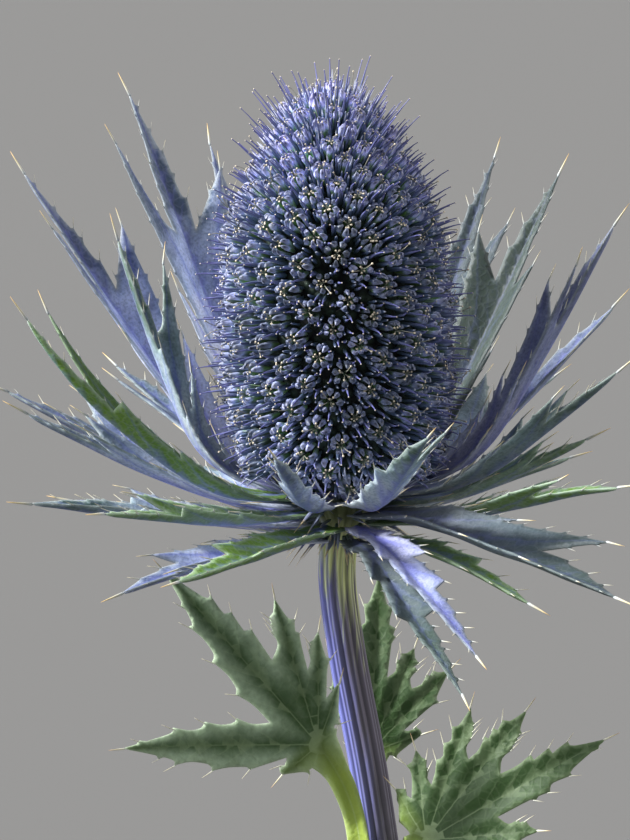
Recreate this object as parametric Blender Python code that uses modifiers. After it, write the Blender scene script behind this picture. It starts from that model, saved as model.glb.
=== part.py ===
"""Sea holly flower head on its leafy stem, standing in a small plain glass bottle of water.

Metres, +Z up, -Y towards the viewer. The origin is the centre of the bottle's flat foot.
"""
import math
import random
from collections import namedtuple

import bmesh
import bpy
from mathutils import Matrix, Vector
from mathutils.geometry import delaunay_2d_cdt

MM = 0.001
GAP = 0.3 * MM

# Bottle and water
BOTTLE_HEIGHT = 64 * MM
BOTTLE_RADIUS = 22 * MM
FOOT_RADIUS = 19 * MM
SHOULDER_START = 38 * MM
NECK_BASE = 52 * MM
NECK_RADIUS = 9 * MM
LIP_RADIUS = 11 * MM
LIP_HEIGHT = 5 * MM
MOUTH_RADIUS = 6.6 * MM
GLASS_WALL = 2.2 * MM
GLASS_FLOOR = 4 * MM
GLASS_EDGE = 1.2 * MM
GLASS_HEEL = 3 * MM
SHOULDER_POINTS = 5
WATER_LEVEL = 35 * MM
TURN_STEPS = 36

# Stem: a gentle curve that leans on the mouth's left rim and straightens under the flower head
STEM_RADIUS = 1.85 * MM
STEM_RIBS = 9
RIB_DEPTH = 0.1
STEM_ROUTE = [(5.4, 1.9, 4.6), (2.9, 1.6, 20.0), (0.3, 1.3, 36.0), (-2.2, 0.9, 51.0), (-4.3, 0.6, 64.0),
              (-6.7, 0.3, 80.0), (-8.9, 0.0, 92.0), (-10.0, -0.3, 100.5)]
SEAT_LENGTH = 3.6 * MM
# How wide the stem is, in plain radii, at shares of its height: it flares into the seat of the head
FLARE = [(0.0, 1.05), (0.93, 1.05), (0.96, 1.25), (0.98, 1.75), (1.0, 2.5)]
HOLE_POINTS = 14
# Height where the three leaves leave the stem
NODE_HEIGHT = 71.5 * MM

# Flower head: its own frame has the origin at the top of the stem, and leans a little to the viewer
HEAD_ORIGIN = Vector((-9.6, -1.4, 110.4)) * MM
HEAD_LEAN_FORWARD = math.radians(7.0)
HEAD_LEAN_LEFT = math.radians(1.8)

# Cone of florets: an egg-shaped crown surface that the sepals reach
FLORETS = 236
CONE_RADIUS = 11.2 * MM
CONE_FOOT = 0.8 * MM
CONE_WIDEST = 14.5 * MM
CONE_TOP = 41.0 * MM
CONE_BELOW = 22.0 * MM
CONE_POWER = 2.3
GOLDEN_ANGLE = math.pi * (3 - math.sqrt(5))
FIRST_RING = 1.6 * MM
FLORET_DEPTH = 2.9 * MM
FLORET_RADIUS = 1.25 * MM
SEPAL_RISE = 0.35 * MM
NOTCH_DEPTH = 1.0 * MM
EYE_DEPTH = 0.7 * MM
BRACTEOLE_REACH = 2.1 * MM
BRACTEOLE_SPREAD = 1.35
FOOT_POINTS = 18

BLADE_THICKNESS = 0.6 * MM
SEED = 7

Bract = namedtuple("Bract", "azimuth rise length width left right sweep curl")
# Each row is one bract: where it leaves the head (0 is to the right and 270 to the viewer), how steeply
# its outer part climbs, its length and width in mm, the size of its main side lobes, and how far its tip
# turns sideways and upwards, in degrees.
UPPER_BRACTS = [
    Bract(6, 58, 38, 5.2, 0.7, 1.1, 0, 4),
    Bract(46, 50, 42.5, 5.4, 0.8, 0.5, 2, 0),
    Bract(88, 50, 42, 5.2, 1.0, 1.0, 0, 4),
    Bract(126, 59, 50, 5.6, 1.1, 0.8, 3, 0),
    Bract(170, 69, 35, 4.2, 0.3, 1.0, 0, 8),
    Bract(208, 36, 39, 4.6, 0.4, 1.2, -4, 30),
    Bract(256, 35, 25, 3.6, 0.4, 0.4, 0, 6),
    Bract(284, 35, 31, 4.8, 0.9, 0.2, 4, 0),
    Bract(334, 37, 31, 4.2, 0.8, 0.8, 4, 6),
]
MIDDLE_BRACTS = [
    Bract(26, 37, 34, 4.4, 0.6, 0.6, 0, 4),
    Bract(66, 38, 50, 4.8, 0.8, 0.8, 0, 6),
    Bract(109, 45, 49, 5.0, 0.6, 0.6, 0, 6),
    Bract(149, 50, 48, 5.4, 1.1, 0.9, 0, 4),
    Bract(186, 26, 31, 4.0, 0.9, 0.9, 0, 8),
    Bract(229, 14, 31, 4.0, 0.6, 0.8, -6, 4),
    Bract(306, -1.5, 38.5, 6.2, 1.1, 0.8, 4, -4),
    Bract(346, 26, 24, 3.8, 0.8, 0.8, 0, 4),
]
LOWER_BRACTS = [
    Bract(12, 33, 26, 3.8, 0.6, 0.6, 0, 6),
    Bract(50, 14, 35, 4.6, 0.9, 0.9, 0, 6),
    Bract(90, 12, 35, 4.6, 0.9, 0.9, 0, 8),
    Bract(130, 16, 36, 4.6, 0.9, 0.9, 0, 8),
    Bract(168, 25.5, 35, 4.2, 0.9, 0.9, 0, 4),
    Bract(204, 14.5, 32, 5.2, 0.2, 0.2, 3, 0),
    Bract(250, 7, 35, 5.0, 0.4, 0.4, -12, 0),
    Bract(287, -5, 38, 4.6, 1.2, 0.4, 1, -6),
    Bract(327, 20, 31, 4.4, 0.4, 1.0, -2, -6),
]
LOWEST_BRACTS = [
    Bract(32, 4, 27, 3.8, 0.7, 0.7, 0, 6),
    Bract(80, -2, 29, 4.2, 0.8, 0.8, 0, 4),
    Bract(128, 0, 29, 4.2, 0.8, 0.8, 0, 4),
    Bract(178, 8, 26, 4.0, 0.7, 0.7, 0, 6),
    Bract(224, 0, 28, 4.6, 0.9, 0.6, -2, -4),
    Bract(284, -9.5, 39, 3.2, 0.3, 0.4, 3, -4),
    Bract(312, -10, 25, 3.0, 0.3, 0.3, 2, -4),
]
Tier = namedtuple("Tier", "name radius height bracts")
TIERS = [
    Tier("upper", 5.4 * MM, -0.8 * MM, UPPER_BRACTS),
    Tier("middle", 4.8 * MM, -2.3 * MM, MIDDLE_BRACTS),
    Tier("lower", 4.1 * MM, -3.8 * MM, LOWER_BRACTS),
    Tier("lowest", 3.5 * MM, -5.3 * MM, LOWEST_BRACTS),
]
BRACT_FOLD = math.radians(22)
FOLD_LENGTH = 12 * MM
BASE_RISE = 6
CLIMB_LENGTH = 15
BRACT_STEPS = 60
BRACT_RIB = (0.0, 0.1, 0.22, 0.36, 0.5, 0.64, 0.8, 1.0)
# Side lobes of a bract as shares of its length: where the lobe leaves the edge, where its tip is, and
# how far out the tip stands. The last pair are its main lobes.
BRACT_LOBES = [(0.10, 0.27, 0.075), (0.24, 0.49, 0.105), (0.42, 0.82, 0.150)]
BRACT_TEETH = [(0.70, 0.020), (0.80, 0.014)]
LEAST_LOBE = 0.6 * MM
# How wide the blade is in the notch behind a lobe, as a share of its plain width there
NOTCH_WIDTH = 0.86

Leaf = namedtuple("Leaf", "name azimuth palm ahead facing cup fingers")
Finger = namedtuple("Finger", "angle length width")
# Each leaf is a stalk that clasps the stem and a palm of toothed fingers: the side of the stem it leaves,
# the middle of its palm in mm, where its midrib and its upper face point, how far its sides bend up,
# and the angle, length and width of each finger
LEAVES = [
    Leaf("leaf_left", 228, (-11.9, -4.2, 84.0), (-0.56, -0.16, 0.82), (0.05, -0.96, 0.28), 1.2, [
        Finger(92, 6.0, 2.2), Finger(51, 22, 4.6), Finger(5, 25, 5.2), Finger(-19, 17.0, 3.4),
        Finger(-35, 13, 2.6), Finger(-54, 8.0, 2.2)]),
    Leaf("leaf_back", 80, (-6.6, 4.8, 81.2), (0.06, 0.26, 0.95), (0.05, -0.95, 0.30), 1.0, [
        Finger(26, 12, 2.8), Finger(0, 20, 4.2), Finger(-20, 13, 2.8), Finger(-41, 13, 3.4),
        Finger(-68, 7, 2.2)]),
    Leaf("leaf_right", 322, (-0.9, -3.4, 73.9), (0.74, -0.16, 0.65), (-0.18, -0.88, 0.44), 1.2, [
        Finger(86, 7.5, 2.2), Finger(60, 10.5, 2.4), Finger(34, 15.5, 2.8), Finger(15, 18, 3.6),
        Finger(-8, 22.5, 4.8), Finger(-32, 13.5, 3.0), Finger(-53, 11.5, 2.6)]),
]
STALK_WIDTH = 3.2 * MM
STALK_STEPS = 5
TOOTH_REACH = 0.65 * MM
PALM_DROOP = 1.5 * MM


def srgb(code):
    """Linear RGBA from an sRGB hex code."""
    channels = [int(code[i:i + 2], 16) / 255 for i in (0, 2, 4)]
    return tuple(c / 12.92 if c <= 0.04045 else ((c + 0.055) / 1.055) ** 2.4 for c in channels) + (1.0,)


def make_material(name, code, roughness, transmission=0.0):
    material = bpy.data.materials.new(name)
    material.use_nodes = True
    shader = material.node_tree.nodes["Principled BSDF"]
    shader.inputs["Base Color"].default_value = srgb(code)
    shader.inputs["Roughness"].default_value = roughness
    shader.inputs["Metallic"].default_value = 0.0
    shader.inputs["Transmission Weight"].default_value = transmission
    material.diffuse_color = srgb(code)
    return material


def add_object(name, data, material, collection):
    made = bpy.data.objects.new(name, data)
    made.data.materials.append(material)
    collection.objects.link(made)
    return made


def smoothstep(x):
    x = min(1.0, max(0.0, x))
    return x * x * (3 - 2 * x)


def turned(name, profile, material, collection):
    """A turned solid from (radius, height) points that start and end on the axis."""
    mesh = bpy.data.meshes.new(name)
    points = [(radius, 0.0, height) for radius, height in profile]
    mesh.from_pydata(points, [(i, i + 1) for i in range(len(points) - 1)], [])
    made = add_object(name, mesh, material, collection)
    screw = made.modifiers.new("Turn", "SCREW")
    screw.axis = "Z"
    screw.steps = TURN_STEPS
    screw.render_steps = TURN_STEPS
    screw.use_merge_vertices = True
    screw.merge_threshold = 0.00001
    screw.use_smooth_shade = True
    return made


def shoulder(inner, outer, high, low):
    """(radius, height) round a bottle's shoulder, from under its neck to the top of its side."""
    wide, tall = outer - inner, high - low
    turns = [math.pi / 2 * i / SHOULDER_POINTS for i in range(1, SHOULDER_POINTS + 1)]
    return [(inner + wide * math.sin(turn), low + tall * math.cos(turn)) for turn in turns]


def bottle_outside():
    """(radius, height) down the outside of the bottle, from the lip to the foot."""
    lip_foot = BOTTLE_HEIGHT - LIP_HEIGHT
    points = [(MOUTH_RADIUS + GLASS_EDGE, BOTTLE_HEIGHT), (LIP_RADIUS - GLASS_EDGE, BOTTLE_HEIGHT)]
    points += [(LIP_RADIUS, BOTTLE_HEIGHT - GLASS_EDGE), (LIP_RADIUS, lip_foot + GLASS_EDGE)]
    points += [(NECK_RADIUS, lip_foot), (NECK_RADIUS, NECK_BASE)]
    points += shoulder(NECK_RADIUS, BOTTLE_RADIUS, NECK_BASE, SHOULDER_START)
    points += [(BOTTLE_RADIUS, GLASS_HEEL), (BOTTLE_RADIUS - GLASS_EDGE, GLASS_EDGE), (FOOT_RADIUS, 0.0)]
    return points


def bottle_inside(inset=0.0):
    """(radius, height) down the inside of the bottle, from the mouth to the floor, moved in by inset."""
    inner = BOTTLE_RADIUS - GLASS_WALL
    points = [(MOUTH_RADIUS, BOTTLE_HEIGHT - GLASS_EDGE), (MOUTH_RADIUS, NECK_BASE)]
    points += shoulder(MOUTH_RADIUS, inner, NECK_BASE - GLASS_WALL, SHOULDER_START - GLASS_WALL)
    points += [(inner, GLASS_FLOOR + GLASS_HEEL), (inner - GLASS_HEEL, GLASS_FLOOR)]
    return [(radius - inset, max(height, GLASS_FLOOR + inset)) for radius, height in points]


def make_bottle(glass, collection):
    inside = bottle_inside()
    profile = [(0.0, GLASS_FLOOR)] + inside[::-1] + bottle_outside() + [(0.0, 0.0)]
    return turned("bottle", profile, glass, collection)


def make_water(water, collection, stem_cutter):
    """Water that fills the bottle to its level, with a plain hole where the stem stands."""
    wetted = [point for point in bottle_inside(GAP) if point[1] < WATER_LEVEL]
    surface = [(0.0, WATER_LEVEL), (wetted[0][0], WATER_LEVEL)]
    made = turned("water", surface + wetted + [(0.0, GLASS_FLOOR + GAP)], water, collection)
    hole = made.modifiers.new("Stem hole", "BOOLEAN")
    hole.operation = "DIFFERENCE"
    hole.solver = "EXACT"
    hole.object = stem_cutter
    return made


def catmull_rom(points, steps):
    """Points along the smooth curve through the given ones, steps to each span."""
    ends = [2 * points[0] - points[1]] + points + [2 * points[-1] - points[-2]]
    curve = []
    for i in range(1, len(ends) - 2):
        a, b, c, d = ends[i - 1:i + 3]
        for step in range(steps):
            t = step / steps
            curve.append(0.5 * (2 * b + (c - a) * t + (2 * a - 5 * b + 4 * c - d) * t * t
                                + (3 * b - a - 3 * c + d) * t ** 3))
    curve.append(points[-1].copy())
    return curve


def head_matrix():
    lean = Matrix.Rotation(-HEAD_LEAN_LEFT, 4, "Y") @ Matrix.Rotation(HEAD_LEAN_FORWARD, 4, "X")
    return Matrix.Translation(HEAD_ORIGIN) @ lean


def stem_line():
    """The stem's centre line, from the cut end to the top."""
    seat = head_matrix() @ Vector((0.0, 0.0, -SEAT_LENGTH))
    return catmull_rom([Vector(point) * MM for point in STEM_ROUTE] + [seat, HEAD_ORIGIN.copy()], 3)


def flare_at(share):
    """How much wider than the plain stem it is at this share of its height."""
    for (low, narrow), (high, wide) in zip(FLARE, FLARE[1:]):
        if share <= high:
            return narrow + (wide - narrow) * smoothstep((share - low) / (high - low))
    return FLARE[-1][1]


def make_ring(name, radius, points, depth):
    """A closed flat curve, ribbed where depth is above 0."""
    curve = bpy.data.curves.new(name, "CURVE")
    curve.dimensions = "2D"
    spline = curve.splines.new("POLY")
    spline.points.add(points - 1)
    for i, point in enumerate(spline.points):
        turn = -2 * math.pi * i / points
        reach = radius * (1 - depth * (i % 2))
        point.co = (reach * math.cos(turn), reach * math.sin(turn), 0.0, 1.0)
    spline.use_cyclic_u = True
    ring = bpy.data.objects.new(name, curve)
    ring.hide_render = True
    ring.display_type = "WIRE"
    return ring


def make_swept(name, line, widths, ring, material, collection):
    """A tube along line whose section is ring, scaled by widths."""
    curve = bpy.data.curves.new(name, "CURVE")
    curve.dimensions = "3D"
    curve.bevel_mode = "OBJECT"
    curve.bevel_object = ring
    curve.use_fill_caps = True
    spline = curve.splines.new("POLY")
    spline.points.add(len(line) - 1)
    for point, place, width in zip(spline.points, line, widths):
        point.co = (*place, 1.0)
        point.radius = width
    return add_object(name, curve, material, collection)


def curve_to_mesh(made, collection):
    """Replaces a curve object by the mesh it draws, with its caps welded on."""
    depsgraph = bpy.context.evaluated_depsgraph_get()
    mesh = bpy.data.meshes.new_from_object(made.evaluated_get(depsgraph))
    shape = bmesh.new()
    shape.from_mesh(mesh)
    bmesh.ops.remove_doubles(shape, verts=shape.verts, dist=0.00001)
    bmesh.ops.recalc_face_normals(shape, faces=shape.faces)
    shape.to_mesh(mesh)
    shape.free()
    name = made.name
    place = made.matrix_world.copy()
    bpy.data.objects.remove(made)
    solid = bpy.data.objects.new(name, mesh)
    solid.matrix_world = place
    collection.objects.link(solid)
    return solid


def make_stem(green, collection, cutters):
    """The ribbed stem, which widens at the top into the seat of the flower head."""
    line = stem_line()
    heights = [place.z for place in line]
    shares = [(z - heights[0]) / (heights[-1] - heights[0]) for z in heights]
    ring = make_ring("stem_section", STEM_RADIUS, 2 * STEM_RIBS, RIB_DEPTH)
    cutters.objects.link(ring)
    make_swept("stem", line, [flare_at(share) for share in shares], ring, green, collection)
    return line


def make_stem_cutter(line, material, cutters):
    """A plain rod a gap wider than the stem, past both ends of the water."""
    wet = [place for place in line if place.z < WATER_LEVEL + 12 * MM]
    wet.insert(0, wet[0] + (wet[0] - wet[1]).normalized() * 6 * MM)
    ring = make_ring("hole_section", STEM_RADIUS * FLARE[0][1] + GAP, HOLE_POINTS, 0.0)
    cutters.objects.link(ring)
    rod = curve_to_mesh(make_swept("stem_hole", wet, [1.0] * len(wet), ring, material, cutters), cutters)
    rod.hide_render = True
    rod.display_type = "WIRE"
    return rod


def cone_radius(height):
    """Radius of the crown surface at this height of the head."""
    half = CONE_TOP - CONE_WIDEST if height > CONE_WIDEST else CONE_BELOW
    share = min(1.0, abs(height - CONE_WIDEST) / half)
    return CONE_RADIUS * (1 - share ** CONE_POWER) ** (1 / CONE_POWER)


def floret_sites():
    """(place, outward direction) of each floret, laid out by the golden angle with an equal area each."""
    steps = 400
    start = CONE_FOOT + FIRST_RING
    heights = [start + (CONE_TOP - start) * i / steps for i in range(steps + 1)]
    areas = [0.0]
    for low, high in zip(heights, heights[1:]):
        slant = math.hypot(high - low, cone_radius(high) - cone_radius(low))
        areas.append(areas[-1] + slant * (cone_radius(high) + cone_radius(low)) / 2)
    sites = []
    i = 0
    for k in range(FLORETS):
        wanted = areas[-1] * (k + 0.5) / FLORETS
        while areas[i + 1] < wanted:
            i += 1
        share = (wanted - areas[i]) / (areas[i + 1] - areas[i])
        z = heights[i] + (heights[i + 1] - heights[i]) * share
        slope = (cone_radius(heights[i + 1]) - cone_radius(heights[i])) / (heights[i + 1] - heights[i])
        turn = k * GOLDEN_ANGLE
        around = Vector((math.cos(turn), math.sin(turn), 0.0))
        outward = (around + Vector((0, 0, 0.12 - slope))).normalized()
        sites.append((around * cone_radius(z) + Vector((0, 0, z)), outward))
    return sites


def around_in_order(vert):
    """The faces round a vertex, in turn, counter-clockwise from outside."""
    loop = vert.link_loops[0]
    faces = []
    for _ in vert.link_faces:
        faces.append(loop.face)
        loop = loop.link_loop_prev.link_loop_radial_next
    return faces


def raise_floret(shape, place, outward, valley):
    """One floret: a crown of pointed sepals that rises from the ring of valley points round it.
    Its lowest point is the long bracteole."""
    flat = [(v.co - place) - outward * (v.co - place).dot(outward) for v in valley]
    directions = [f.normalized() for f in flat]
    count = len(valley)
    notches = []
    for direction in directions:
        notches.append(shape.verts.new(place + direction * FLORET_RADIUS * 0.62 - outward * NOTCH_DEPTH))
    between = [(directions[i] + directions[(i + 1) % count]).normalized() for i in range(count)]
    lowest = min(range(count), key=lambda i: between[i].z)
    long_reach = BRACTEOLE_REACH * smoothstep(place.z / (9 * MM))
    tips = []
    for i, direction in enumerate(between):
        reach = long_reach if i == lowest else SEPAL_RISE * (1 + i % 2)
        spread = FLORET_RADIUS * (BRACTEOLE_SPREAD if i == lowest else 1.0)
        tips.append(shape.verts.new(place + direction * spread + outward * reach))
    centre = shape.verts.new(place - outward * EYE_DEPTH)
    for i in range(count):
        j = (i + 1) % count
        shape.faces.new((valley[i], valley[j], tips[i]))
        shape.faces.new((valley[i], tips[i], notches[i]))
        shape.faces.new((valley[j], notches[j], tips[i]))
        shape.faces.new((centre, notches[i], tips[i]))
        shape.faces.new((centre, tips[i], notches[j]))


def floret_hull(sites):
    """The hull of the floret places and of the cone's foot: a mesh of triangles, and which of its points
    are florets."""
    hull = bmesh.new()
    florets = {hull.verts.new(place): (place, outward) for place, outward in sites}
    rim = cone_radius(CONE_FOOT) - FIRST_RING
    for i in range(FOOT_POINTS):
        turn = 2 * math.pi * i / FOOT_POINTS
        hull.verts.new((rim * math.cos(turn), rim * math.sin(turn), CONE_FOOT))
    bmesh.ops.convex_hull(hull, input=hull.verts)
    return hull, florets


def sunk_point(face):
    """The middle of a face of the hull, sunk towards the cone's axis."""
    middle = face.calc_center_median()
    axis = Vector((0, 0, middle.z * 0.72 + CONE_WIDEST * 0.28))
    return middle + (axis - middle).normalized() * FLORET_DEPTH


def make_cone(blue, collection):
    """The cone: one solid whose whole surface is florets. The hull of the floret places gives each its
    neighbours, and each face of the hull sinks to a point of the valley between three florets."""
    hull, florets = floret_hull(floret_sites())
    shape = bmesh.new()
    foot = {vert: shape.verts.new(vert.co) for vert in hull.verts if vert not in florets}
    valleys = {}
    for face in hull.faces:
        if any(vert in florets for vert in face.verts):
            valleys[face] = shape.verts.new(sunk_point(face))
        else:
            shape.faces.new([foot[vert] for vert in face.verts])
    for vert in hull.verts:
        faces = around_in_order(vert)
        if vert in florets:
            raise_floret(shape, *florets[vert], [valleys[face] for face in faces])
            continue
        for face, after in zip(faces, faces[1:] + faces[:1]):
            if face in valleys and after in valleys:
                shape.faces.new((foot[vert], valleys[face], valleys[after]))
    for face, valley in valleys.items():
        corners = [foot[vert] for vert in face.verts if vert in foot]
        if len(corners) == 2:
            shape.faces.new((*corners, valley))
    bmesh.ops.recalc_face_normals(shape, faces=shape.faces)
    mesh = bpy.data.meshes.new("flower_cone")
    shape.to_mesh(mesh)
    shape.free()
    hull.free()
    cone = add_object("flower_cone", mesh, blue, collection)
    cone.matrix_world = head_matrix()
    return cone


def blade_solid(name, outline, spine, place, thickness, material, collection):
    """A thin blade: a flat outline with lines down its ribs, split into triangles, bent by place(x, y)
    and made solid."""
    points = list(outline)
    edges = [(i, (i + 1) % len(points)) for i in range(len(points))]
    for line in spine:
        points += [point for point in line if point not in points]
        chain = [points.index(point) for point in line]
        edges += list(zip(chain, chain[1:]))
    points = [Vector(point) for point in points]
    verts, _, faces, *_ = delaunay_2d_cdt(points, edges, [list(range(len(outline)))], 1, 1e-7)
    mesh = bpy.data.meshes.new(name)
    mesh.from_pydata([place(v.x, v.y) for v in verts], [], [list(face) for face in faces])
    made = add_object(name, mesh, material, collection)
    solidify = made.modifiers.new("Thickness", "SOLIDIFY")
    solidify.thickness = thickness
    solidify.offset = 0.0
    return made


def bract_edge(bract, size, draw):
    """One edge of a bract, from its base to just before its tip, as (along, out) points."""
    length = bract.length * MM
    half = bract.width / 2 * MM

    def edge(share):
        return half * min(0.36 + 1.6 * share, 1.0) * min(1.0, ((1 - share) / 0.62) ** 0.8)

    points = [(0.0, edge(0.0))]
    for root, tip, reach in BRACT_LOBES:
        grown = draw.uniform(0.85, 1.1) * (size if root > 0.4 else 0.6 + 0.3 * size)
        tip = root + (tip - root) * (0.3 + 0.7 * grown)
        notch = root + (tip - root) * max(0.5, 1 - 0.5 * grown)
        out = edge(root) + (reach * length - edge(root)) * grown
        points.append((root * length, edge(root)))
        points.append((tip * length, max(out, edge(tip) + LEAST_LOBE)))
        points.append((notch * length, edge(notch) * NOTCH_WIDTH))
    for share, reach in BRACT_TEETH:
        share += draw.uniform(-0.02, 0.02)
        points.append(((share + 0.015) * length, edge(share) + reach * length))
        points.append(((share + 0.02) * length, edge(share + 0.02)))
    return points


def bract_place(bract, tier):
    """A function from a bract's flat outline to its bent place in the head's frame."""
    length = bract.length * MM
    steps = BRACT_STEPS
    line = [Vector((tier.radius, 0.0, tier.height))]
    frames = []
    for i in range(steps + 1):
        share = i / steps
        climb = smoothstep(share * bract.length / CLIMB_LENGTH)
        rise = math.radians(BASE_RISE + (bract.rise - BASE_RISE) * climb + bract.curl * share ** 2)
        turn = math.radians(bract.sweep) * share
        ahead = Vector((math.cos(rise) * math.cos(turn), math.cos(rise) * math.sin(turn), math.sin(rise)))
        side = Vector((-math.sin(turn), math.cos(turn), 0.0))
        frames.append((side, ahead.cross(side)))
        line.append(line[-1] + ahead * (length / steps))
    around = Matrix.Rotation(math.radians(bract.azimuth), 3, "Z")

    def place(x, y):
        at = min(steps - 1e-6, max(0.0, x / length * steps))
        i = int(at)
        centre = line[i].lerp(line[i + 1], at - i)
        side = frames[i][0].lerp(frames[i + 1][0], at - i)
        up = frames[i][1].lerp(frames[i + 1][1], at - i)
        fold = BRACT_FOLD * smoothstep(x / FOLD_LENGTH)
        return around @ (centre + side * (y * math.cos(fold)) + up * (abs(y) * math.sin(fold)))

    return place


def make_bract(name, bract, tier, draw, material, collection):
    length = bract.length * MM
    left = bract_edge(bract, bract.left, draw)
    right = [(x, -y) for x, y in bract_edge(bract, bract.right, draw)]
    outline = [(0.0, 0.0)] + right + [(length, 0.0)] + left[::-1]
    rib = [(length * share, 0.0) for share in BRACT_RIB]
    place = bract_place(bract, tier)
    made = blade_solid(name, outline, [rib], place, BLADE_THICKNESS, material, collection)
    made.matrix_world = head_matrix()
    return made


def make_bracts(material, collection):
    draw = random.Random(SEED)
    for tier in TIERS:
        for number, bract in enumerate(tier.bracts, 1):
            make_bract(f"bract_{tier.name}_{number:02d}", bract, tier, draw, material, collection)


def half_angle(finger, other):
    """Half the angle between two neighbouring fingers, or a wide one where a finger has no neighbour."""
    if other is finger:
        return math.radians(45)
    return math.radians(abs(other.angle - finger.angle)) / 2


def notch_depth(finger, other):
    """How far from the middle of the palm two neighbouring fingers part."""
    if other is finger:
        return 0.2 * finger.length * MM
    parted = (finger.width + other.width) / 4 * MM / math.tan(half_angle(finger, other))
    return min(parted, 0.6 * min(finger.length, other.length) * MM)


def finger_body(finger, share):
    """Half of a finger's width at this share of its length, without its teeth: a lance shape."""
    return finger.width / 2 * MM * min(1.0, 0.6 + share, ((1 - share) / 0.6) ** 0.85)


def finger_edge(finger, side, other):
    """The toothed edge of a leaf's finger that faces its neighbour, from root to tip, as (along, out)
    points. A tooth with no room beside the neighbour is left out."""
    length = finger.length * MM
    wedge = math.tan(half_angle(finger, other))
    teeth = min(3, int(finger.length / 5))
    first = notch_depth(finger, other) / length + 0.06
    points = []
    for k in range(teeth):
        share = first + (0.78 - first) * (k + (0.15 if side > 0 else 0.0)) / teeth
        body = finger_body(finger, share + 0.05)
        tip = (share + 0.08) * length
        reach = min(body + TOOTH_REACH, tip * wedge - GAP)
        if reach > body + TOOTH_REACH / 2:
            back = tip + max(0.04 * length, 0.5 * MM)
            points.append((tip, side * reach))
            points.append((back, side * finger_body(finger, back / length)))
    return points


def leaf_outline(leaf, stalk):
    """The flat outline of a leaf, its palm at the origin and its stalk along -X, and its rib lines."""
    half = STALK_WIDTH / 2
    shares = [i / STALK_STEPS for i in range(STALK_STEPS)]
    lower = [(-stalk * (1 - share), -half * (1 - 0.25 * math.sin(math.pi * share))) for share in shares]
    ribs = [[(-stalk * (1 - share), 0.0) for share in shares] + [(0.0, 0.0)]]
    outline = [(-stalk, 0.0)] + lower
    fingers = sorted(leaf.fingers, key=lambda finger: finger.angle)
    for number, finger in enumerate(fingers):
        turn = Matrix.Rotation(math.radians(finger.angle), 2)
        before = fingers[max(0, number - 1)]
        after = fingers[min(len(fingers) - 1, number + 1)]
        tip = tuple(turn @ Vector((finger.length * MM, 0.0)))
        outline += [tuple(turn @ Vector(point)) for point in finger_edge(finger, -1, before)]
        outline.append(tip)
        outline += [tuple(turn @ Vector(point)) for point in finger_edge(finger, 1, after)[::-1]]
        if after is not finger:
            depth = notch_depth(finger, after)
            middle = math.radians((finger.angle + after.angle) / 2)
            outline.append((depth * math.cos(middle), depth * math.sin(middle)))
        along = [tuple(turn @ Vector((finger.length * MM * share, 0.0))) for share in (0.33, 0.66)]
        ribs.append([(0.0, 0.0)] + along + [tip])
    outline += [(x, -y) for x, y in lower[::-1]]
    return outline, ribs


def stem_at(height):
    """The stem's centre and upward direction at this height."""
    line = stem_line()
    for low, high in zip(line, line[1:]):
        if high.z >= height:
            return low.lerp(high, (height - low.z) / (high.z - low.z)), (high - low).normalized()
    return line[-1], (line[-1] - line[-2]).normalized()


def bezier(a, b, c, d, t):
    return a * (1 - t) ** 3 + b * 3 * t * (1 - t) ** 2 + c * 3 * t * t * (1 - t) + d * t ** 3


def leaf_frame(leaf):
    """Where a leaf's stalk starts, the stem's direction there, and its palm's middle and axes."""
    azimuth = math.radians(leaf.azimuth)
    out = Vector((math.cos(azimuth), math.sin(azimuth), 0.0))
    centre, upward = stem_at(NODE_HEIGHT)
    out = (out - upward * out.dot(upward)).normalized()
    root = centre + out * (STEM_RADIUS * FLARE[0][1] + GAP + BLADE_THICKNESS / 2)
    palm = Vector(leaf.palm) * MM
    ahead = Vector(leaf.ahead).normalized()
    side = Vector(leaf.facing).cross(ahead).normalized()
    root_side = upward.cross(out)
    if root_side.dot(side) < 0:
        root_side = -root_side
    return root, upward, root_side, palm, ahead, side


def leaf_place(leaf):
    """A function from a leaf's flat outline to its place in the world: the stalk clasps the stem and
    climbs beside it, then bends out to the palm."""
    root, upward, root_side, palm, ahead, side = leaf_frame(leaf)
    stalk = (palm - root).length

    def place(x, y):
        if x < 0:
            t = 1 + x / stalk
            pull = stalk * 0.4
            centre = bezier(root, root + upward * pull, palm - ahead * pull, palm, t)
            across = root_side.lerp(side, smoothstep(t)).normalized()
            return centre + across * y
        up = ahead.cross(side)
        rise = leaf.cup * MM * (y / (10 * MM)) ** 2 - PALM_DROOP * (x / (20 * MM)) ** 2
        return palm + ahead * x + side * y + up * rise

    return place, stalk


def make_leaf(leaf, green, collection):
    place, stalk = leaf_place(leaf)
    outline, ribs = leaf_outline(leaf, stalk)
    return blade_solid(leaf.name, outline, ribs, place, BLADE_THICKNESS, green, collection)


def main():
    for old in list(bpy.data.objects):
        bpy.data.objects.remove(old)
    flower = bpy.data.collections.new("sea_holly_in_bottle")
    cutters = bpy.data.collections.new("cutters")
    for collection in (flower, cutters):
        bpy.context.scene.collection.children.link(collection)
    glass = make_material("clear glass", "DDE8E6", 0.05, transmission=1.0)
    water = make_material("water", "E4F0F2", 0.02, transmission=1.0)
    stem_skin = make_material("stem skin", "6A6A9A", 0.45)
    floret_blue = make_material("floret blue", "4A5590", 0.6)
    bract_blue = make_material("bract steel blue", "6C80B4", 0.5)
    leaf_green = make_material("leaf green", "3F6238", 0.5)

    make_bottle(glass, flower)
    line = make_stem(stem_skin, flower, cutters)
    make_water(water, flower, make_stem_cutter(line, water, cutters))
    make_cone(floret_blue, flower)
    make_bracts(bract_blue, flower)
    for leaf in LEAVES:
        make_leaf(leaf, leaf_green, flower)


main()
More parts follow.
